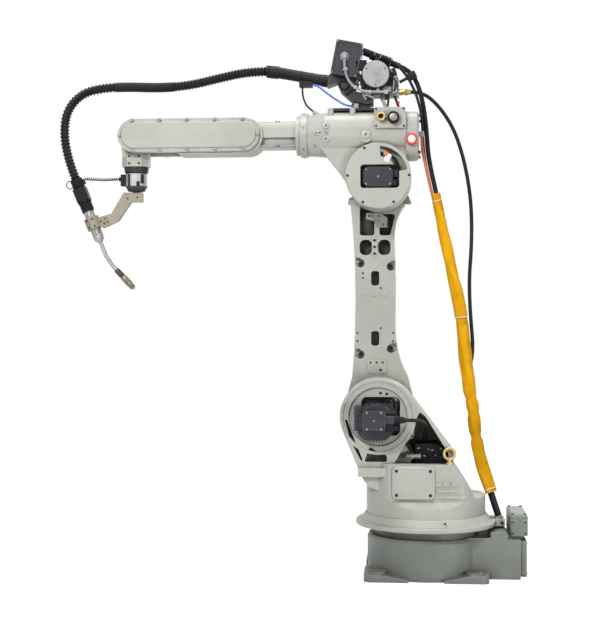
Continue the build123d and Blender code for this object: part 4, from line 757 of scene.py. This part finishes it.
def finishShape(obj, rounding):
    onlySelect(obj)
    bpy.ops.object.transform_apply(location=True, rotation=True, scale=True)
    if rounding:
        roundEdges(obj, rounding / 1000)
    else:
        bpy.ops.object.shade_smooth_by_angle(angle=math.radians(40))
    return obj


def turnTo(direction):
    return Vector(direction).to_track_quat("Z", "Y").to_euler()


def rod(radius, depth, place, direction=up, rounding=0.0, sides=32, endRadius=None):
    startPiece()
    way = Vector(direction).normalized()
    bpy.ops.mesh.primitive_cone_add(
        vertices=sides, radius1=radius / 1000, radius2=(radius if endRadius is None else endRadius) / 1000,
        depth=depth / 1000, location=mm(*(Vector(place) + way * depth / 2)), rotation=turnTo(way),
    )
    return finishShape(bpy.context.object, rounding)


def block(size, place, rounding=0.0, tilt=0.0):
    startPiece()
    bpy.ops.mesh.primitive_cube_add(
        size=1, location=mm(*place), rotation=(0, math.radians(tilt), 0), scale=mm(*size),
    )
    return finishShape(bpy.context.object, rounding)


def hoop(radius, tube, place, direction=up, tubeSides=12):
    startPiece()
    bpy.ops.mesh.primitive_torus_add(
        major_segments=48, minor_segments=tubeSides, major_radius=radius / 1000, minor_radius=tube / 1000,
        location=mm(*place), rotation=turnTo(direction),
    )
    return finishShape(bpy.context.object, 0)


def dome(radius, place, direction, flatness):
    startPiece()
    bpy.ops.mesh.primitive_uv_sphere_add(
        segments=32, ring_count=16, radius=radius / 1000, location=mm(*place), rotation=turnTo(direction),
        scale=(1, 1, flatness),
    )
    return finishShape(bpy.context.object, 0)


def carve(obj, cutter):
    onlySelect(obj)
    cut = obj.modifiers.new("carved", "BOOLEAN")
    cut.operation = "DIFFERENCE"
    cut.solver = "EXACT"
    cut.object = cutter
    bpy.ops.object.modifier_apply(modifier=cut.name)
    dropModel(cutter)
    return obj


def flatRing(outer, inner, depth, place, direction, rounding):
    way = Vector(direction).normalized()
    ring = rod(outer, depth, place, direction, sides=96)
    carve(ring, rod(inner, depth + 4, Vector(place) - way * 2, direction, sides=96))
    return finishShape(ring, rounding)


def socketScrew(radius, height):
    head = rod(radius, height, origin, rounding=radius * 0.12)
    return carve(head, rod(radius * 0.55, height, (0, 0, height * 0.45), sides=6))


def hexBolt(radius, height):
    washer = rod(radius * 1.35, radius * 0.22, origin, rounding=radius * 0.08)
    head = rod(radius * 1.12, height, (0, 0, radius * 0.2), rounding=radius * 0.1, sides=6)
    return joinAll([head, washer])


def faceAt(node, x, z):
    # where a line along Y first meets this CAD piece, and the way its face looks
    place, normal = bpy.data.objects[node].ray_cast(mm(x, 900, z), Vector((0, -1, 0)))[1:3]
    return (x, place.y * 1000, z), tuple(normal)


def onFace(node, spots, lift=0.0):
    points = [faceAt(node, x, z)[0] for x, z in spots]
    return [(x, y + lift, z) for x, y, z in points]


def ringSpots(centre, reach, y, degrees):
    angles = [math.radians(a) for a in degrees]
    return [(centre[0] + reach * math.cos(a), y, centre[1] + reach * math.sin(a)) for a in angles]


def together(shapes, name, finish, body):
    return settle(joinAll(shapes), name, finish, body)


def rowOf(model, name, points, direction, finish, body):
    # copies of a fastener at these points; direction is one for all, or a list with one for each
    ways = direction if isinstance(direction, list) else [direction] * len(points)
    copies = [copyTo(model, mm(*point), way, 0.35 * k) for k, (point, way) in enumerate(zip(points, ways))]
    dropModel(model)
    return together(copies, name, finish, body)


def dressSection(section):
    # screws: name, finish, radius, height, direction, points; others: name, finish, model, direction, points;
    # shapes: name, finish, each shape with its values
    for name, finish, radius, height, way, points in section.get("screws", ()):
        rowOf(socketScrew(radius, height), name, points, way, finish, section["body"])
    for name, finish, (make, *values), way, points in section.get("others", ()):
        rowOf(make(*values), name, points, way, finish, section["body"])
    for name, finish, shapes in section.get("shapes", ()):
        together([make(*values) for make, *values in shapes], name, finish, section["body"])


# Gear case: twelve cover screws a side, each on its round boss
gearCase = {
    "body": "forearm", "face": 69.0, "boss": (7.0, 2.0), "bossRounding": 0.6, "screw": (4.6, 4.5), "screwLift": 1.8,
    "spots": [(x, z) for x in (585, 675, 765, 855, 945) for z in (1453, 1355)] + [(537.5, 1404), (986.5, 1404)],
    "screws": [
        ("forearm_small_screws", black, 3.2, 1.4, left,
         onFace("forearm_casting", [(x, z) for x in (470, 479) for z in (1445, 1368)])),
    ],
}


def dressCaseSides():
    for sideName, side in (("left", 1), ("right", -1)):
        way = (0, side, 0)
        points = [(x, side * gearCase["face"], z) for x, z in gearCase["spots"]]
        raised = [(x, y + side * gearCase["screwLift"], z) for x, y, z in points]
        boss = rod(*gearCase["boss"], origin, rounding=gearCase["bossRounding"])
        rowOf(boss, "case_bosses_" + sideName, points, way, armPaint, gearCase["body"])
        rowOf(socketScrew(*gearCase["screw"]), "case_screws_" + sideName, raised, way, zinc, gearCase["body"])


# Elbow: disc and panel screws, sockets, lamp ring, the motor's plugs and the tag on its cord
elbow = {
    "body": "upper_arm",
    "screws": [
        ("disc_screws", black, 4.2, 1.6, left, ringSpots((150, 1265), 97.0, 96.8, (0, -60, -120, 180, 63))),
        ("panel_screws", black, 3.2, 1.6, left, [(x, 95, z) for z in (1421, 1475) for x in (70, 157)]),
        ("boss_screws", zinc, 4.6, 3.0, up, [(303, 58, 1483), (233, 58, 1483)]),
        ("rear_screws", black, 5.2, 5.0, back, [(21, y, z) for y in (-58, 66) for z in (1340, 1457)]),
        ("motor_screws", zinc, 3.0, 1.6, left, [(x, 85, z) for x in (113, 189) for z in (1239, 1286)]),
    ],
    "shapes": [
        ("socket_ring", plastic, [
            (rod, 18.6, 19.2, (102, 95, 1446), left, 1.0, 28), (hoop, 16.4, 2.2, (102, 114, 1446), left)]),
        ("socket_cap", zinc, [
            (rod, 12.2, 22, (102, 95, 1446), left, 1.2), (dome, 7.5, (102, 117, 1446), left, 0.3)]),
        # a black disc at the foot of the brass socket's bore: painted shade in the bore
        ("socket_bore", black, [(rod, 7.9, 4, (141, 95, 1449), left)]),
        ("socket_lip", "brass", [(hoop, 9.8, 1.6, (141, 113, 1449), left)]),
        ("lamp_ring", lampRed, [(hoop, 15.2, 3.6, (45, 90, 1379), left)]),
        ("motor_plug", copper, [(rod, 3.6, 1.2, (151, 85, 1263), left)]),
        ("motor_plugs", plastic, [
            (block, (20, 22, 20), (98, 74, 1243), 1.5), (block, (9, 16, 24), (85.5, 74, 1262), 1.2),
            (hoop, 6.0, 2.4, (88, 68, 1286)), (hoop, 5.4, 2.0, (89, 68, 1298))]),
        ("cord_sleeving", "clear_tube", [
            (rod, 5.5, 27, (150, 84, 1349), (-1, 0, -0.42), 1.2),
            (rod, 4.2, 20, (127, 84, 1339), (-0.7, 0.1, -0.9), 1.0)]),
        ("cord_tag", white, [
            (block, (19, 1.2, 27), (120.5, 98.6, 1320), 0.4, -24), (block, (5, 15, 8), (124, 91, 1331), 0.8, -24)]),
        ("cord_tag_end", "orange_hose", [(block, (13, 1.6, 13), (126, 98.6, 1333), 0.4, -24)]),
    ],
}
elbowRing = {
    "rollZ": 1405, "x": 391, "reach": 70.3, "degrees": range(15, 375, 60), "screw": (4.0, 2.0),
    "bossX": 352, "bossWay": (0, 0.84, -0.54), "bossReach": 67, "boss": (8.0, 7), "bossScrew": (5.0, 3.0),
    # x, z, radius and sides of the blank pads, then the plate with two screws
    "pads": ((316, 1426, 11.5, 8), (316, 1384, 11.5, 8), (316, 1405, 6.5, 24), (190, 1396, 16.0, 6)),
    "padDepth": 3.0, "padScrew": (2.8, 1.2),
    "plate": (342, 1404), "plateSize": (27, 4, 15), "plateScrews": (336, 348),
}


def dressElbowRing():
    axisZ, reach = elbowRing["rollZ"], elbowRing["reach"]
    ways = [(0, math.cos(math.radians(a)), math.sin(math.radians(a))) for a in elbowRing["degrees"]]
    points = [(elbowRing["x"], reach * y, axisZ + reach * z) for x, y, z in ways]
    rowOf(socketScrew(*elbowRing["screw"]), "ring_screws", points, ways, zinc, "upper_arm")
    way = Vector(elbowRing["bossWay"])
    place = Vector((elbowRing["bossX"], 0, axisZ)) + way * elbowRing["bossReach"]
    top = place + way * elbowRing["boss"][1]
    together([rod(*elbowRing["boss"], place, way, 1.0)], "ring_boss", armPaint, "upper_arm")
    rowOf(socketScrew(*elbowRing["bossScrew"]), "ring_boss_screw", [top], way, zinc, "upper_arm")
    pads, points, ways = [], [], []
    for x, z, size, sides in elbowRing["pads"]:
        place, way = faceAt("elbow_casting", x, z)
        pads.append(rod(size, elbowRing["padDepth"], place, way, 0.5, sides))
        points.append(Vector(place) + Vector(way) * (elbowRing["padDepth"] - 0.2))
        ways.append(way)
    together(pads, "blank_pads", armPaint, "upper_arm")
    plate = faceAt("elbow_casting", *elbowRing["plate"])[0]
    together([block(elbowRing["plateSize"], plate, 0.6)], "small_plate", armPaint, "upper_arm")
    points += [(x, plate[1] + 1.8, plate[2]) for x in elbowRing["plateScrews"]]
    rowOf(socketScrew(*elbowRing["padScrew"]), "pad_screws", points, ways + [left, left], black, "upper_arm")


# Shoulder and turntable: rim, screws, motor fins, plugs and loose cables, blank pads, lug, pipe and terminals
shoulder = {
    "body": "turntable",
    "screws": [
        ("cover_screws", black, 5.0, 1.6, left, [(x, 157.7, z) for z in (339, 264) for x in (92, -13)]),
        ("recess_screws", black, 4.6, 1.4, left, [(142.5, 118.6, 579), (122.5, 118.6, 576)]),
        ("cap_screws", zinc, 3.2, 1.8, left, [(x, 243, z) for x in (137, 181) for z in (476, 526)]),
        ("lug_screws", black, 4.4, 5.0, left, [(-240, 42, 165), (-218, 42, 165)]),
    ],
    "others": [
        ("lug_bolts", zinc, (hexBolt, 7.0, 6.0), up, [(-236, 20, 176), (-214, 24, 176)]),
        ("eye_nut", plated, (hexBolt, 7.0, 5.0), up, [(-72, 138.5, 359)]),
    ],
    "shapes": [
        ("shoulder_rim", armPaint, [(flatRing, 119, 109, 3.0, (150, 126.5, 505), left, 1.2)]),
        ("cap_mark", zinc, [(rod, 2.6, 1.0, (159, 243, 501), left)]),
        ("motor_fins", "motor_black", [
            *((block, (22, 44, 3.4), (212, 172, z), 0.5) for z in range(468, 544, 8)),
            (block, (20, 40, 78), (208, 172, 505), 1.0)]),
        ("motor_connectors", plastic, [
            (rod, 12, 20, (98, 226, 503), back, 1.0, 20), (rod, 9, 14, (98, 222, 478), back, 1.0),
            (rod, 10, 22, (66, 226, 503), right, 1.5), (rod, 9, 26, (120, 205, 520), (-1, 0, 0.1), 1.0),
            (rod, 5, 60, (104, 112, 556), (0, 0.25, -1), 0.8), (rod, 4, 56, (96, 116, 548), (-0.1, 0.3, -1), 0.8),
            (rod, 6, 52, (62, 96, 428), (-0.5, -0.3, -1), 1.0),
            (hoop, 11.5, 2.0, (92, 226, 503), right), (hoop, 11.5, 2.0, (82, 226, 503), right),
            (hoop, 26, 4.0, (118, 112, 540), (0.5, 1, 0.1)), (hoop, 22, 3.2, (112, 118, 538), (0.2, 1, 0.4)),
            (block, (28, 24, 20), (112, 222, 478), 2.0), (block, (88, 16, 9), (142, 101, 562), 3.0),
            (block, (9, 16, 60), (86, 101, 530), 3.0), (block, (16, 20, 26), (52, 110, 452), 2.0, 20),
            (block, (70, 18, 10), (-8, 72, 350), 2.0)]),
        ("motor_cap_rim", "motor_black", [
            *((block, (66, 2, 3), (159, 242.6, z), 0.5) for z in (474, 528)),
            *((block, (3, 2, 56), (x, 242.6, 501), 0.5) for x in (127, 191))]),
        ("motor_cable_joint", "sensor_grey", [(rod, 11, 24, (101, 88, 555), left, 1.0)]),
        ("blank_cast_pads", armPaint, [
            *((block, (19, 5, 12), (x, 151, 297), 0.7) for x in (-36, -62, -88)),
            (block, (62, 5, 9), (-66, 151, 277), 0.7), (block, (84, 5, 9), (-80, 151, 258), 0.7)]),
        # a black disc stands in for a small pocket in the lip: painted shade
        ("lip_hole", black, [(rod, 3.6, 3, (-57, 205, 184), (-0.2, 0.8, 0.55))]),
        ("pipe_fitting", "sensor_grey", [
            (rod, 8, 46, (62, 92, 378), (-1, 0, 0.04), 1.0), (rod, 11, 8, (48, 92, 378.5), (-1, 0, 0.04), 0.6, 6)]),
        ("terminal_screws", zinc, [
            *((rod, 2.2, 2.2, (x, 70, z), left, 0.0, 12) for x, z in ((-46, 402), (-30, 380), (-8, 399), (18, 384))),
            *((block, (9, 3, 3.5), (x, 70, z), 0.4, tilt)
              for x, z, tilt in ((-20, 396, 12), (5, 378, -20), (24, 402, 8)))]),
        ("terminal_ridges", plastic, [(block, (8, 6, 60), (x, 64.5, 348), 1.0) for x in (-48, -26, -4, 18)]),
    ],
}

# Base: screws of the junction box and the rear panel
base = {
    "body": "base",
    "screws": [
        ("box_screws", black, 4.2, 3.2, up, [(x, y, 198.8) for x in (-271, -309) for y in (-88, 88)]),
        ("box_side_screws", black, 2.6, 1.4, left, [(x, 98, z) for x in (-271, -309) for z in (141, 176)]),
        ("rear_panel_screws", zinc, 4.0, 3.0, back, [(-313, y, z) for y in (-84, 0, 84) for z in (14, 110)]),
    ],
}

# Lower arm: screws down in the round pockets, pocket floors darkened with painted shade and dirt, stop bracket
# screws, small screws, blank pads
armBolts = ((214, 995), (113, 984), (113, 713), (214, 694))
footY = faceAt("lower_arm_casting", 159, 660)[0][1]
pocketSizes = ((190, 1128, 50, 92), (132, 1128, 46, 92), (197, 1047, 50, 58), (136, 1047, 50, 58))
lowerArm = {
    "body": "lower_arm",
    "screws": [
        ("arm_bolts", black, 7.5, 7.0, left, [(x, -104.2, z) for x, z in armBolts]),
        ("stop_screws", black, 4.2, 1.2, left,
         onFace("stop_bracket", ((139, 1121), (152, 1149), (172, 1149)), -1.0)),
        ("arm_small_screws", black, 3.2, 1.4, left, onFace("lower_arm_casting", (
            (205, 962), (205, 946), (106, 765), (106, 738), (223, 765), (223, 738), (146, 913), (146, 781)), -0.3)),
        ("arm_foot_screws", black, 3.4, 1.4, left, [(x, footY + 3.3, 668) for x in (140, 160, 180)]),
        ("arm_pad_screws", black, 4.6, 1.4, left,
         [(x, footY + 3.3, z) for x, z in ((147, 643), (167, 1070), (167, 1048), (167, 1026))]),
    ],
    "others": [
        ("arm_washers", zinc, (rod, 11.5, 4.0, origin, up, 0.8), left, [(x, -108, z) for x, z in armBolts]),
    ],
    "shapes": [
        # dark sheets on the pocket floors: painted shade and dirt
        ("pocket_floors", pocketPaint, [
            (block, (wide, 1.6, high), onFace("lower_arm_casting", ((x, z),), 0.5)[0], 0.3)
            for x, z, wide, high in pocketSizes]),
        ("arm_blank_pads", armPaint, [
            *((rod, 13.5, 3.2, place, left, 0.8, 6)
              for place in onFace("lower_arm_casting", ((133, 897), (198, 897)), -0.6)),
            (block, (20, 3.6, 22), onFace("lower_arm_casting", ((166, 897),), 0.8)[0], 0.8, 10),
            (block, (64, 4.4, 46), (159, footY + 1.4, 655), 1.6),
            (block, (18, 4, 70), (167, footY + 1.2, 1048), 1.6)]),
    ],
}

# Feeder: grommet, ties, screws, bars, latches, connector rings, coil and pipe bands
boxTilt = math.radians(11)
boxCorners = [
    (252 + u * math.cos(boxTilt) - w * math.sin(boxTilt), 54, 1644 + w * math.cos(boxTilt) + u * math.sin(boxTilt))
    for u in (-38, 38) for w in (-50.5, 50.5)
]
signalSide = Vector((0, 42, 0))
pipeStart, pipeEnd, cuffEnd = Vector((313, 0, 1580.4)), Vector((473, 0, 1611)), Vector((515, 0, 1616))
pipeWay = (pipeEnd - pipeStart).normalized()


def onConnector(distance, aside=Vector(origin)):
    return connectorStart + aside + connectorWay * distance


feeder = {
    "body": "upper_arm",
    "screws": [
        ("box_corner_screws", zinc, 2.2, 1.0, left, boxCorners),
        ("feeder_motor_screws", black, 2.6, 1.2, left, ringSpots((159, 1592), 34, 61.7, (30, 150, 270))),
        ("gear_plate_screws", black, 4.0, 3.0, left,
         [(x, 36, z) for x, z in ((96, 1538), (96, 1572), (118, 1606), (198, 1546), (201, 1606))]),
    ],
    "shapes": [
        ("grommet", "sensor_grey", [
            (hoop, 11.5, 3.0, (259, 54, 1650), left), (rod, 11, 2.5, (259, 51, 1650), left)]),
        ("tube_ties", white, [
            (hoop, 5.4, 1.3, (258.6, 59.5, 1608), (0.1, 0, 1)), (hoop, 5.4, 1.3, (225, 59.5, 1550), (0.8, 0, 0.6)),
            (hoop, 5.4, 1.3, (178, 59.5, 1535), (1, 0, 0.1)), (block, (2.2, 3, 12), (252, 63, 1610), 0.4, 25)]),
        ("feeder_motor_rings", black, [
            (hoop, 41.0, 1.6, (159, 50, 1592), left), (hoop, 42.0, 2.2, (159, 40, 1592), left)]),
        ("feeder_dark_parts", plastic, [
            (block, (22, 3, 44), (113, 37.6, 1578), 1.0), (block, (46, 3, 10), (150, 37.6, 1534), 1.0),
            (block, (14, 3, 30), (196, 37.6, 1578), 1.0), (block, (20, 3, 14), (100, 37.6, 1550), 1.0),
            (block, (36, 14, 34), (206, 44, 1622), 2.0), (rod, 47, 9, (159, 35, 1592), left, 0.8, 64),
            (rod, 5, 52, (214, 46, 1596), (-0.35, 0.1, -1), 0.8),
            (rod, 4, 70, (228, 50, 1590), (-0.8, 0, -0.7), 0.8)]),
        ("blue_coil", "blue_hose", [
            (hoop, 6.0, 1.6, (x, 12, 1581 + 0.15 * (285 - x)), (1, 0.2, 0.1)) for x in range(259, 291, 5)]),
        ("feeder_struts", plastic, [
            (rod, 4.2, 50, (102, 26, 1534), (-0.33, 0, -0.94), 0.8),
            (rod, 3.4, 40, (118, 24, 1528), (0.1, 0, -1), 0.8)]),
        ("small_red_cap", lampRed, [(rod, 4.2, 8, (90, 29, 1502), (-0.5, 0.8, 0.3), 1.0)]),
        ("feeder_wire_loops", plastic, [
            (hoop, 22, 2.6, (196, 50, 1560), (0.2, 1, 0.1)), (hoop, 17, 2.2, (214, 52, 1576), (-0.2, 1, 0.2)),
            (hoop, 26, 2.4, (120, 48, 1560), (0.1, 1, -0.1))]),
        ("feeder_bars", "sensor_grey", [
            (rod, 3.4, 62, (94, 44, 1534), (0.05, 0, 1), 0.6), (rod, 3.4, 56, (104, 46, 1534), (-0.1, 0, 1), 0.6),
            (rod, 4.0, 30, (190, 44, 1512), (0.5, 0, 1), 0.6), (rod, 5, 14, (152, 36, 1545), left, 0.6),
            (block, (34, 8, 9), (112, 42, 1536), 1.0), (block, (30, 6, 7), (180, 46, 1524), 1.0, -24)]),
        ("feeder_latches", plastic, [
            (block, (12, 14, 26), (100, 44, 1600), 2.0, 18), (block, (46, 9, 8), (240, 44, 1543), 1.5, 38),
            (block, (16, 12, 18), (124, 46, 1520), 2.0), (hoop, 15, 3.2, (262, 44, 1562), left),
            (rod, 6.5, 12, (182, 34, 1520), left, 1)]),
        ("connector_rings", zinc, [
            *((hoop, 13.6, 1.8, onConnector(d), connectorWay) for d in (25, 45)),
            *((hoop, 15.2, 1.5, onConnector(d), connectorWay) for d in (52, 94)),
            *((hoop, 7.4, 1.2, onConnector(d, signalSide), connectorWay) for d in (40, 60))]),
        ("connector_grips", plastic, [(hoop, 15.0, 1.3, onConnector(d), connectorWay, 8) for d in range(57, 92, 5)]),
        ("inlet_rings", "brass", [(hoop, 10.2, 1.1, (x, -16, 1545), right, 8) for x in (65, 62, 59)]),
        ("pipe_bands", plastic, [
            *((hoop, 17.6, 1.6, pipeStart + pipeWay * d, pipeWay) for d in (30, 58, 92, 150)),
            *((hoop, 19.8, 1.4, pipeEnd.lerp(cuffEnd, k / 6), pipeWay) for k in range(1, 6))]),
    ],
}
knob = {"foot": (86, 22, 1570), "way": (-2, 0, 1), "start": 36, "count": 12, "reach": 11.4, "flute": (2.2, 22)}


def fluteKnob():
    way = Vector(knob["way"]).normalized()
    start = Vector(knob["foot"]) + way * knob["start"]
    side = way.cross(Vector(left))
    flutes = []
    for k in range(knob["count"]):
        a = 2 * math.pi * k / knob["count"]
        place = start + (Vector(left) * math.cos(a) + side * math.sin(a)) * knob["reach"]
        flutes.append(rod(*knob["flute"], place, way, 0.4, 10))
    together(flutes, "knob_flutes", plastic, "upper_arm")


# Torch, sensor and bracket, by distance down the torch's axis
def torchSpot(distance):
    return torchTop + torchWay * distance


def roundTorch(distance, reach, angle):
    way = Vector(left) * math.cos(angle) + torchWay.cross(Vector(left)) * math.sin(angle)
    return torchSpot(distance) + way * reach, way


neckEnd, noseTip = Vector((1022, 0, 983)), Vector((955, 0, 913))
noseWay = (noseTip - neckEnd).normalized()


def noseSpot(distance):
    return neckEnd + noseWay * (14 + distance)


clampSpots = [roundTorch(distance, 24.8, angle) for distance in (145, 169) for angle in (-0.25, 0.55)]
torch = {
    "body": "tool",
    "screws": [
        ("clamp_screws", black, 3.2, 1.6, [way for point, way in clampSpots],
         [point for point, way in clampSpots]),
        ("bracket_screws", black, 2.9, 1.2, left, [(x, 12.4, z) for x, z in (
            (1038, 1130), (1050, 1124), (1062, 1131), (1046, 1141), (940, 1209), (972, 1205))]),
    ],
    "shapes": [
        ("torch_grips", plastic, [
            *((hoop, 19.2, 1.5, torchSpot(d), torchWay, 8) for d in range(3, 30, 5)),
            *((hoop, 20.0, 1.4, torchSpot(d), torchWay, 8) for d in range(84, 114, 6)),
            (rod, 23, 6, torchSpot(78), torchWay, 1.2, 40)]),
        ("barrel_collars", "torch_metal", [
            *((hoop, 17.0, 1.2, torchSpot(d), torchWay, 8) for d in (133, 181, 202)),
            (rod, 18.4, 5, torchSpot(203), torchWay, 0.8, 40)]),
        ("cuff_loop", "black_rubber", [(hoop, 13, 1.5, (1166, 4, 1252), (0.2, 1, 0.1))]),
        ("torch_handle", handleDark, [
            (rod, 9.4, 33, noseSpot(1), noseWay, 0.8), *((hoop, 9.2, 1.1, noseSpot(d), noseWay) for d in (12, 22))]),
        ("nozzle_cup", copper, [
            (rod, 11, 27, noseSpot(33.5), noseWay, 0.8), (rod, 11, 22.6, noseSpot(60.5), noseWay, 0.5, 32, 8.6)]),
        ("wire_tip", "brass", [(rod, 2.2, 7, noseTip - noseWay, noseWay, 0.4)]),
        # shock sensor: dark rings and clips on its pale body, and the flange's lip over it
        ("sensor_clips", plastic, [
            (rod, 35.4, 5, (945, 0, 1285.5), up, 0.8, 64), (rod, 35.4, 4, (945, 0, 1241.5), up, 0.8, 64),
            (rod, 7, 6, (997, 0, 1270), right, 0.8), (block, (12, 5, 30), (921, 26, 1268), 1.5),
            (block, (7, 5, 40), (963, 30, 1264), 1.5), (block, (10, 4, 16), (933, 33, 1252), 1.2)]),
        ("flange_lip", "dark_steel", [(flatRing, 40.5, 30, 3, (945, 0, 1303.5), (0, 0, -1), 0.6)]),
    ],
}
wrist = {
    "body": "wrist",
    "screws": [("wrist_screws", black, 3.4, 2.4, left, [(x, 38.3, z) for z in (1318, 1341) for x in (929, 961)])],
}
barrel = {"slots": 9, "rows": ((115, 6.5), (124.5, 6.5), (183.5, 16.0)), "reach": 15.9, "slotRadius": 1.6}


# black strips on the barrel stand in for its open slots, nothing is cut: their darkness is painted shade
def cutBarrel():
    slots = []
    for row, (distance, length) in enumerate(barrel["rows"]):
        for k in range(barrel["slots"]):
            angle = 2 * math.pi * (k + 0.5 * (row % 2)) / barrel["slots"]
            point = roundTorch(distance, barrel["reach"], angle)[0]
            slots.append(rod(barrel["slotRadius"], length, point, torchWay, sides=12))
    together(slots, "barrel_slots", black, "tool")


# Curly cord of the sensor, wound round the route of its CAD cord
curl = {
    "diameter": 0.0032, "reach": 0.0042, "pitch": 0.0070, "perTurn": 14,
    "route": [(1003, 0, 1271), (1018, 0, 1270), (1052, 0, 1269), (1088, 0, 1271), (1112, 0, 1273), (1121, 0, 1271)],
}


def layCurl():
    points = tracePoints(curl["route"])
    turns = round(lengthOf(points) / curl["pitch"])
    even = evenPoints(points, lengthOf(points) / (turns * curl["perTurn"]))
    wound = []
    last = len(even) - 1
    for k, (point, ahead, across, upward) in enumerate(framesAlong(even)):
        a = 2 * math.pi * k / curl["perTurn"]
        reach = curl["reach"] * min(1.0, k / curl["perTurn"], (last - k) / curl["perTurn"])
        wound.append(point + (across * math.cos(a) + upward * math.sin(a)) * reach)
    tube = tubeMesh("sensor_curly_cord", wound, lambda distance, angle: curl["diameter"] / 2, 8)
    layTube(tube, "sensor_cord", "black_rubber", "tool")


for section in (gearCase, elbow, shoulder, base, lowerArm, feeder, torch, wrist):
    dressSection(section)
    print("dressed:", section["body"])
for dress in (dressCaseSides, dressElbowRing, fluteKnob, cutBarrel, layCurl):
    dress()
    print("done:", dress.__name__)
